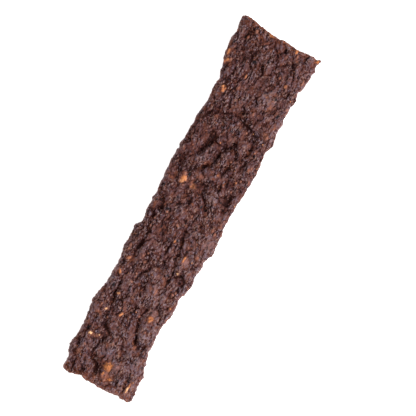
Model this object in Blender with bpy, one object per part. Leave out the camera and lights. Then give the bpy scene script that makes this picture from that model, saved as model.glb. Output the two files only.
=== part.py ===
"""A strip of pressed and dried beef lung jerky.

Metres, +Z up. X runs along the strip and Y across it. The strip lies on its flatter face, and the
origin is the middle of the bottom of its bounding box.

The strip starts as a finely divided box. Its edges are rounded, its sides are drawn out to the
hand-pressed outline, and its skin is raised into lumps and sunk into folds. A Decimate modifier
then keeps the faces where the relief is, and what lies lowest is flattened for the strip to rest on.
"""

import bmesh
import bpy
import numpy as np
from mathutils import Vector, noise

MM = 0.001

# Driving dimensions in millimetres: a six inch strip, as thick as a pencil is wide.
HALF_LENGTH = 76.8
HALF_WIDTH = 15.0
THICKNESS = 5.4

# The rounding of the pressed long sides, and of the crisper cut ends.
SIDE_ROUNDING = 2.3
END_ROUNDING = 0.7

# The box's divisions before it is shaped, and the share of its faces that is kept at the end.
DIVISIONS_ALONG = 224
DIVISIONS_ACROSS = 44
DIVISIONS_THROUGH = 8
KEPT_SHARE = 0.195

# Lumps of pressed mince, in two sizes: the pitch and the height of each above and below.
LUMP_PITCH = 7.6
LUMP_HEIGHT = 0.72
UNDER_LUMP_HEIGHT = 0.5
SMALL_LUMP_PITCH = 3.9
SMALL_LUMP_HEIGHT = 0.42
UNDER_SMALL_LUMP_HEIGHT = 0.22

# How uneven the lumps are: drawn out along the strip, bent, and of mixed sizes and heights.
LUMP_STRETCH = 1.35
LUMP_WARP = 0.36
LUMP_JITTER = 0.5
LUMP_SIZES = (0.72, 1.28)
LUMP_HEIGHTS = (0.35, 1.0)
SEAM_WIDTH = 0.45
MEAN_LUMP = 0.45
UPPER_SEED = 11
UNDER_SEED = 29

# Slow waves in the thickness, and the crags of the sides and the cut ends.
WAVE_LENGTH = 17.0
WAVE_HEIGHT = 0.45
WAVE_SHIFT = 3.0
CRAG_SIZE = 2.6
CRAG_SHIFT = 7.0
SIDE_CRAG_HEIGHT = 0.26
END_CRAG_HEIGHT = 0.18

# The middle of the strip stands a little clear of the table, between two pads that were dried flat.
# A pad is at its flattest out to the first share of its half sizes, and is gone at the second.
ARCH_RISE = 0.8
ARCH_HALF_SPAN = 46.0
PAD_CENTRES = ((-61.0, 0.0), (60.0, 0.5))
PAD_HALF_LENGTH = 10.0
PAD_HALF_WIDTH = 8.5
PAD_SHARES = (0.75, 1.1)
FLATTENED_BELOW = 0.08

# The far long edge (+Y) and the near long edge (-Y), each as (along, across), and the two cut ends,
# each as (share of the width from the near edge, along).
FAR_EDGE = (
    (-77.0, 14.4), (-74.0, 14.4), (-71.5, 14.4), (-69.5, 15.3), (-66.5, 16.0), (-63.5, 15.5),
    (-61.0, 15.0), (-58.8, 14.9), (-56.0, 15.4), (-52.0, 15.8), (-48.0, 16.2), (-44.5, 15.9),
    (-40.0, 14.9), (-36.0, 14.6), (-33.5, 14.8), (-30.0, 14.4), (-28.0, 14.6), (-24.5, 15.5),
    (-20.0, 15.4), (-16.0, 15.5), (-14.2, 15.5), (-12.6, 14.2), (-11.0, 13.8), (-8.0, 14.5),
    (-2.0, 14.3), (2.0, 14.3), (6.0, 14.8), (10.0, 15.0), (15.0, 15.2), (20.0, 15.1),
    (25.0, 14.7), (30.0, 14.4), (35.0, 14.7), (38.5, 14.0), (41.0, 13.6), (43.3, 13.8),
    (46.0, 14.3), (48.0, 14.2), (50.0, 13.6), (52.0, 14.1), (54.0, 14.5), (57.0, 15.5),
    (60.0, 16.4), (64.0, 16.8), (67.5, 17.0), (70.0, 16.4), (72.0, 16.6), (75.3, 17.2),
    (77.0, 17.1),
)
NEAR_EDGE = (
    (-77.0, -15.1), (-74.5, -15.2), (-72.5, -15.3), (-70.0, -14.9), (-68.0, -14.6), (-66.0, -15.0),
    (-62.0, -14.0), (-58.0, -12.9), (-56.0, -11.9), (-53.5, -12.2), (-50.0, -12.1), (-46.0, -12.1),
    (-43.5, -12.4), (-41.5, -13.0), (-38.0, -13.4), (-34.5, -13.3), (-32.0, -13.1), (-30.0, -14.0),
    (-27.0, -14.7), (-24.0, -14.7), (-21.0, -14.4), (-18.0, -14.8), (-14.0, -15.0), (-12.0, -15.8),
    (-9.5, -16.3), (-6.0, -15.9), (0.0, -15.4), (5.0, -15.4), (10.0, -15.6), (15.0, -15.9),
    (20.0, -16.3), (24.0, -16.4), (28.0, -16.1), (32.0, -15.7), (35.0, -16.0), (38.0, -16.8),
    (40.5, -16.1), (44.0, -16.0), (46.0, -16.3), (48.0, -15.8), (53.0, -15.8), (56.0, -16.5),
    (60.0, -15.9), (62.0, -16.6), (65.0, -16.9), (68.0, -17.2), (70.0, -17.6), (72.5, -17.0),
    (74.0, -17.6), (75.0, -18.0),
)
LEFT_END = (
    (0.0, -76.6), (0.05, -76.5), (0.1, -76.7), (0.2, -76.1), (0.3, -76.6), (0.42, -76.7),
    (0.6, -76.4), (0.67, -76.4), (0.73, -75.6), (0.81, -76.4), (0.89, -77.0), (1.0, -76.4),
)
RIGHT_END = (
    (0.0, 75.7), (0.05, 74.6), (0.1, 74.9), (0.2, 74.6), (0.27, 74.3), (0.35, 74.7), (0.5, 75.0),
    (0.57, 74.8), (0.68, 75.4), (0.8, 76.2), (0.92, 76.9), (0.97, 77.0), (1.0, 76.7),
)

# The deepest folds of the upper face: how deep, and the line that each runs along.
FOLD_HALF_WIDTH = 1.0
FOLDS = (
    (0.8, ((-69.0, 12.7), (-65.5, 13.4), (-62.0, 14.1), (-58.0, 12.6))),
    (1.0, ((-74.5, 3.0), (-70.0, 3.0), (-67.0, 6.3), (-61.0, 5.9), (-57.5, 5.2))),
    (1.1, ((-57.0, 4.3), (-54.5, 7.2), (-50.0, 9.0), (-45.0, 9.2), (-41.5, 10.2), (-36.0, 10.0))),
    (1.2, ((-55.2, -10.5), (-56.2, -7.2), (-52.5, -4.9), (-44.0, -3.0), (-40.8, -5.0), (-40.2, -8.5))),
    (0.9, ((-34.5, 5.5), (-30.0, 4.5), (-27.5, 2.6), (-24.0, 2.2))),
    (0.9, ((-27.5, 10.3), (-22.5, 10.5), (-17.0, 9.6), (-9.0, 10.8), (-4.5, 9.9), (0.0, 11.2))),
    (0.8, ((-25.0, -0.7), (-21.5, -1.5), (-18.5, -2.0))),
    (1.1, ((-18.5, -5.0), (-14.0, -4.4), (-10.0, -3.0), (-7.5, -3.4), (-5.5, -4.8))),
    (0.9, ((-20.0, -5.2), (-25.2, -7.3), (-24.3, -9.5), (-25.6, -11.2), (-28.2, -11.4))),
    (0.9, ((0.3, 5.6), (1.5, 2.8), (4.5, 1.0), (7.5, 0.2))),
    (1.1, ((2.8, -7.8), (2.8, -5.8), (5.5, -4.2), (8.0, -1.4), (11.0, -1.0), (11.0, 1.5))),
    (1.2, ((13.5, 7.4), (16.3, 4.3), (19.5, 1.0), (23.5, -0.3), (27.5, -0.5))),
    (1.1, ((19.5, 8.0), (24.0, 6.4), (27.3, 5.2), (29.8, 4.2))),
    (0.9, ((6.0, -12.0), (11.0, -12.4), (14.5, -11.6))),
    (1.1, ((27.5, -0.5), (28.5, -2.5), (31.0, -3.8), (26.0, -6.3))),
    (1.0, ((27.0, -8.5), (29.5, -10.2), (33.0, -10.0), (37.0, -8.9))),
    (0.8, ((41.4, 1.0), (39.7, -3.0), (38.3, -7.0), (37.1, -10.2))),
    (1.0, ((59.3, 9.1), (62.3, 9.0))),
    (1.0, ((60.5, 5.5), (63.5, 6.6), (65.3, 7.5))),
    (0.9, ((61.9, 4.0), (61.5, 0.8), (58.5, 0.0))),
    (1.0, ((64.5, -3.6), (66.5, -5.8), (68.0, -9.0))),
    (0.9, ((65.0, 11.2), (70.0, 11.9), (74.0, 11.0))),
)


def clear_scene():
    for obj in list(bpy.data.objects):
        bpy.data.objects.remove(obj)


def smooth_line(points, at):
    """The value at each place of a smooth curve through (place, value) points."""
    place, value = np.array(points).T
    slope = np.gradient(value, place)
    left = np.clip(np.searchsorted(place, at) - 1, 0, len(place) - 2)
    gap = place[left + 1] - place[left]
    t = np.clip((at - place[left]) / gap, 0.0, 1.0)
    start = value[left] * (1 + 2 * t) * (1 - t) ** 2 + slope[left] * gap * t * (1 - t) ** 2
    end = value[left + 1] * t * t * (3 - 2 * t) + slope[left + 1] * gap * t * t * (t - 1)
    return start + end


def noise_at(points, size, shift):
    """Soft noise from -1 to 1 with features of the given size, one value for each point."""
    offset = Vector((shift, shift * 0.7, shift * 1.3))
    return np.array([noise.noise(Vector(p) / size + offset) for p in points])


def fade(value, low, high):
    """0 below low, 1 above high, and a smooth ramp between them."""
    t = np.clip((value - low) / (high - low), 0.0, 1.0)
    return t * t * (3 - 2 * t)


def divided_box():
    """A closed box from -1 to 1 each way, cut into an even grid along each of its edges."""
    bm = bmesh.new()
    bmesh.ops.create_cube(bm, size=2.0)
    for axis, divisions in enumerate((DIVISIONS_ALONG, DIVISIONS_ACROSS, DIVISIONS_THROUGH)):
        across_cut = [
            e for e in bm.edges
            if abs(e.verts[0].co[axis] - e.verts[1].co[axis]) > 1.0
        ]
        bmesh.ops.subdivide_edges(bm, edges=across_cut, cuts=divisions - 1, use_grid_fill=True)
    return bm


def rounded(box):
    """The box at its nominal size with its edges rounded, and the way that its skin faces there."""
    half = np.array([HALF_LENGTH, HALF_WIDTH, THICKNESS / 2])
    radius = np.array([END_ROUNDING, SIDE_ROUNDING, SIDE_ROUNDING])
    outer = box * half
    core = np.clip(outer, radius - half, half - radius)
    facing = (outer - core) / radius
    facing /= np.linalg.norm(facing, axis=1)[:, None]
    return core + facing * radius, facing


def drawn_to_outline(points):
    """The nominal box with its ends and its long sides moved out or in to the pressed outline."""
    along_share = (points[:, 0] / HALF_LENGTH + 1) / 2
    across_share = (points[:, 1] / HALF_WIDTH + 1) / 2
    left = smooth_line(LEFT_END, across_share)
    right = smooth_line(RIGHT_END, across_share)
    along = left + along_share * (right - left)
    near = smooth_line(NEAR_EDGE, along)
    far = smooth_line(FAR_EDGE, along)
    across = near + across_share * (far - near)
    return np.column_stack([along, across, points[:, 2] + THICKNESS / 2])


def lumps(points, pitch, seed):
    """Pillows of pressed mince, from 0 in the seams between them to 1 on the highest."""
    draw = np.random.default_rng(seed)
    columns = int(2 * HALF_LENGTH / (pitch * LUMP_STRETCH)) + 4
    rows = int(2 * HALF_WIDTH / pitch) + 4
    grid = np.stack(np.meshgrid(np.arange(columns), np.arange(rows)), axis=-1).reshape(-1, 2)
    centres = grid - grid.mean(axis=0) + draw.uniform(-LUMP_JITTER, LUMP_JITTER, grid.shape)
    centres[:, 0] += grid[:, 1] % 2 / 2
    sizes = draw.uniform(*LUMP_SIZES, len(centres))
    heights = draw.uniform(*LUMP_HEIGHTS, len(centres))
    bend = np.column_stack([noise_at(points, pitch, shift) for shift in (seed, 2.5 * seed)])
    place = points[:, :2] / (LUMP_STRETCH, 1.0) / pitch + bend * LUMP_WARP
    distance = np.linalg.norm(place[:, None, :] - centres[None, :, :], axis=2) / sizes
    nearest = np.argsort(distance, axis=1)[:, :2]
    first, second = np.take_along_axis(distance, nearest, axis=1).T
    return heights[nearest[:, 0]] * fade(second - first, 0.0, SEAM_WIDTH)


def distance_to_line(points, line):
    """How far each point is, seen from above, from a line through the given points."""
    best = np.full(len(points), np.inf)
    for start, end in zip(np.array(line[:-1]), np.array(line[1:])):
        step = end - start
        share = np.clip((points[:, :2] - start) @ step / (step @ step), 0.0, 1.0)
        gap = np.linalg.norm(points[:, :2] - start - share[:, None] * step, axis=1)
        best = np.minimum(best, gap)
    return best


def folds(points):
    """How deep the folds of the upper face are at each point."""
    depth = np.zeros(len(points))
    for deepest, line in FOLDS:
        reach = distance_to_line(points, line) / FOLD_HALF_WIDTH
        depth = np.maximum(depth, deepest * np.exp(-(reach ** 2)))
    return depth


def relief(points, facing):
    """How far the skin stands out: lumps and folds above, flatter lumps below, crags round the sides."""
    upper = WAVE_HEIGHT * noise_at(points, WAVE_LENGTH, WAVE_SHIFT) - folds(points)
    upper += LUMP_HEIGHT * (lumps(points, LUMP_PITCH, UPPER_SEED) - MEAN_LUMP)
    upper += SMALL_LUMP_HEIGHT * (lumps(points, SMALL_LUMP_PITCH, UPPER_SEED + 1) - MEAN_LUMP)
    under = UNDER_LUMP_HEIGHT * (lumps(points, LUMP_PITCH, UNDER_SEED) - MEAN_LUMP)
    under += UNDER_SMALL_LUMP_HEIGHT * (lumps(points, SMALL_LUMP_PITCH, UNDER_SEED + 1) - MEAN_LUMP)
    crags = noise_at(points, CRAG_SIZE, CRAG_SHIFT)
    side = SIDE_CRAG_HEIGHT * crags
    end = END_CRAG_HEIGHT * crags
    up = np.clip(facing[:, 2], 0.0, 1.0) ** 2
    down = np.clip(-facing[:, 2], 0.0, 1.0) ** 2
    return up * upper + down * under + facing[:, 1] ** 2 * side + facing[:, 0] ** 2 * end


def settled(points):
    """The strip as it dried on its tray: arched in the middle, and pressed flat on two pads."""
    x, y, z = points.T
    z = z + ARCH_RISE * np.clip(1 - (x / ARCH_HALF_SPAN) ** 2, 0.0, 1.0) ** 2
    low = z < THICKNESS / 2
    for centre_x, centre_y in PAD_CENTRES:
        reach = np.hypot((x - centre_x) / PAD_HALF_LENGTH, (y - centre_y) / PAD_HALF_WIDTH)
        pressed = 1 - fade(reach, *PAD_SHARES)
        z = np.where(low, z * (1 - pressed), z)
    return np.column_stack([x, y, z])


def thinned(bm):
    """The strip as a mesh with most of its faces where the relief is."""
    mesh = bpy.data.meshes.new("divided_strip")
    bm.to_mesh(mesh)
    strip = bpy.data.objects.new("divided_strip", mesh)
    bpy.context.scene.collection.objects.link(strip)
    thinning = strip.modifiers.new("thinning", "DECIMATE")
    thinning.ratio = KEPT_SHARE
    evaluated = strip.evaluated_get(bpy.context.evaluated_depsgraph_get())
    result = bpy.data.meshes.new_from_object(evaluated)
    bpy.data.objects.remove(strip)
    bpy.data.meshes.remove(mesh)
    return result


def rested(points):
    """The points with the lowest ones on one plane, and the middle of the box's bottom at the origin."""
    floored = points.copy()
    floored[:, 2] = np.where(points[:, 2] < FLATTENED_BELOW, 0.0, points[:, 2])
    middle = (floored.min(axis=0) + floored.max(axis=0)) / 2
    return floored - (middle[0], middle[1], 0.0)


def jerky_material():
    material = bpy.data.materials.new("dried_meat")
    material.use_nodes = True
    shader = material.node_tree.nodes["Principled BSDF"]
    shader.inputs["Base Color"].default_value = (0.085, 0.042, 0.036, 1.0)
    shader.inputs["Roughness"].default_value = 0.55
    shader.inputs["Metallic"].default_value = 0.0
    return material


def jerky_strip():
    bm = divided_box()
    box = np.array([v.co[:] for v in bm.verts])
    smooth, facing = rounded(box)
    shaped = drawn_to_outline(smooth)
    raised = shaped + facing * relief(shaped, facing)[:, None]
    for vertex, place in zip(bm.verts, settled(raised)):
        vertex.co = place
    bmesh.ops.triangulate(bm, faces=bm.faces)
    mesh = thinned(bm)
    bm.free()
    mesh.name = "jerky_strip"
    for vertex, place in zip(mesh.vertices, rested(np.array([v.co[:] for v in mesh.vertices]))):
        vertex.co = place * MM
    mesh.materials.append(jerky_material())
    mesh.shade_smooth()
    return bpy.data.objects.new("jerky_strip", mesh)


def main():
    clear_scene()
    collection = bpy.data.collections.new("beef_lung_jerky")
    bpy.context.scene.collection.children.link(collection)
    collection.objects.link(jerky_strip())


main()
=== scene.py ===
"""The looks of one strip of beef lung jerky: pressed mince, dried dark, flecked with gristle.

The file is laid out as a Blender add-on. Each operator makes one piece, in metres, in the frame of
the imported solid: +X along the strip, +Y across it, +Z up, with the strip lying at Z = 0.
"""

import math

import bpy
from bpy.props import FloatProperty, FloatVectorProperty, IntProperty, PointerProperty
from mathutils import Matrix, Vector


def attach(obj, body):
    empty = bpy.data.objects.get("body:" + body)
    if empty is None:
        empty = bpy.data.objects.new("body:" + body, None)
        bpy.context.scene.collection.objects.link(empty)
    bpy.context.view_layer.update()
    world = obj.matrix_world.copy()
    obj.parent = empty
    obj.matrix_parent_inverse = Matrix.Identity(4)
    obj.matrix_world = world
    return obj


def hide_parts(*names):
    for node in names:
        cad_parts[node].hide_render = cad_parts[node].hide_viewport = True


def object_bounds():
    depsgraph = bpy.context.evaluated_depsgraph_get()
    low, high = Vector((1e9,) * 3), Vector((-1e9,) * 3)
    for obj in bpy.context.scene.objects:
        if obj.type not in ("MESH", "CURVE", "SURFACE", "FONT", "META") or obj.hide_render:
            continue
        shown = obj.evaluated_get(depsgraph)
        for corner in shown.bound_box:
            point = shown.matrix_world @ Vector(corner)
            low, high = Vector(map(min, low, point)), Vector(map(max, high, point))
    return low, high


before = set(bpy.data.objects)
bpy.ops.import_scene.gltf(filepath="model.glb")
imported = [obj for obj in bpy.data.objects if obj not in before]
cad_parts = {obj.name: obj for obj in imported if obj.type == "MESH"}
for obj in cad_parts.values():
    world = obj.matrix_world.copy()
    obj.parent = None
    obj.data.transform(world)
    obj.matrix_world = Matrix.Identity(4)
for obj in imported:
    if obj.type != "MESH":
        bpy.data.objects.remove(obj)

bl_info = {
    "name": "Beef Lung Jerky",
    "version": (1, 0, 0),
    "blender": (4, 5, 0),
    "location": "3D View > Sidebar > Jerky",
    "description": "Dresses a strip of dried beef lung jerky: its skin, its gristle flecks and its stage",
    "category": "Mesh",
}

MM = 0.001
CAD_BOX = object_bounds()
STRIP_NODE = "jerky_strip"
MEAT_PIECE = "jerky_meat"
FLECK_PIECE = "gristle_flecks"
BODY = "root"
MEAT_SLOT = "dried_meat"
FLECK_SLOT = "gristle"

# The stretches between cracks and between seams, which the skin's shape and its shades share.
CRACK_SPACING = 3.4 * MM
SEAM_SPACING = 3.0 * MM

# What only the materials have: the stretch between hairlines, how wide a grain of meat and of fat is,
# and how high it stands.
HAIRLINE_SPACING = 1.4 * MM
MEAT_GRAIN = 0.43 * MM
FAT_GRAIN = 0.5 * MM
MEAT_BUMP = 0.42 * MM
FAT_BUMP = 0.08 * MM

# Patterns are drawn out along the strip, as the mince was when it was pressed.
LONGER_ALONG = (0.6, 1.0, 1.0)

# Times that a place is averaged with its neighbours, for what is near to it and for what is far.
NEAR_ROUNDS = 4
MOUND_ROUNDS = 24
FAR_ROUNDS = 26
SOFTEN_ROUNDS = 5

# The distance between the points that are taken along a fold line.
FOLD_STEP = 0.35 * MM

# How far above its mark a chip starts, before it is dropped onto the skin, and the seeds that shuffle
# the tones and the turns of the scattered ones.
DROP = 0.05
TONE_SEED = 3
TURN_SEED = 5

# Folds and flecks are placed in millimetres from the middle of the strip's drawn outline. This is
# where the middle of its finished box lies in that outline.
OUTLINE_MIDDLE = Vector((0.114, -0.507))

# The folds of the solid, which get a sharp crease at their bottom: depth, and the line it follows.
SOLID_FOLDS = (
    (0.5, ((-69.0, 12.7), (-65.5, 13.4), (-62.0, 14.1), (-58.0, 12.6))),
    (0.7, ((-75.4, 3.3), (-70.0, 3.0), (-68.4, 4.8), (-67.0, 6.6), (-61.0, 5.9), (-57.5, 5.2))),
    (0.9, ((-57.0, 4.3), (-54.5, 7.2), (-50.5, 8.9))),
    (0.7, ((-50.5, 8.9), (-45.0, 9.2), (-41.5, 10.2), (-36.0, 10.0))),
    (0.8, ((-55.2, -10.5), (-56.2, -7.2), (-52.5, -4.9), (-47.0, -3.4))),
    (0.6, ((-49.0, -3.9), (-44.0, -3.0), (-40.8, -5.0), (-40.2, -8.5))),
    (0.8, ((-34.5, 5.5), (-30.0, 4.5), (-27.5, 2.6), (-24.0, 2.2))),
    (0.6, ((-27.5, 10.3), (-22.5, 10.5), (-17.0, 9.6), (-9.0, 10.8), (-4.5, 9.9), (0.0, 11.2))),
    (0.5, ((-25.0, -0.7), (-21.5, -1.5), (-18.5, -2.0))),
    (0.5, ((-18.5, -5.0), (-14.0, -4.4), (-10.0, -3.0), (-7.5, -3.4), (-5.5, -4.8))),
    (0.7, ((-20.0, -5.2), (-25.2, -7.3), (-24.3, -9.5), (-25.6, -11.2), (-28.2, -11.4))),
    (0.5, ((0.3, 5.6), (1.5, 2.8), (4.5, 1.0), (7.5, 0.2))),
    (0.7, ((2.8, -7.8), (2.8, -5.8), (5.5, -4.2), (8.0, -1.4), (11.0, -1.0), (11.0, 1.5))),
    (0.8, ((13.5, 7.4), (16.3, 4.3), (19.5, 1.0), (23.5, -0.3), (27.5, -0.5))),
    (0.4, ((19.5, 8.0), (22.0, 7.2), (24.0, 6.4))),
    (0.7, ((24.0, 6.4), (27.3, 5.2), (29.8, 4.2))),
    (0.5, ((6.0, -12.0), (11.0, -12.4), (14.5, -11.6))),
    (0.7, ((27.5, -0.5), (28.5, -2.5), (31.0, -3.8), (26.0, -6.3))),
    (0.7, ((27.0, -8.5), (29.5, -10.2), (33.0, -10.0), (37.0, -8.9))),
    (0.6, ((41.4, 1.0), (39.7, -3.0), (38.3, -7.0), (37.1, -10.2))),
    (0.8, ((59.3, 9.1), (62.3, 9.0))),
    (0.8, ((60.5, 5.5), (63.5, 6.6), (65.3, 7.5))),
    (0.6, ((61.9, 4.0), (61.5, 0.8), (58.5, 0.0))),
    (0.7, ((64.5, -3.6), (66.5, -5.8), (68.0, -9.0))),
    (0.6, ((65.0, 11.2), (70.0, 11.9), (74.0, 11.0))),
)

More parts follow.
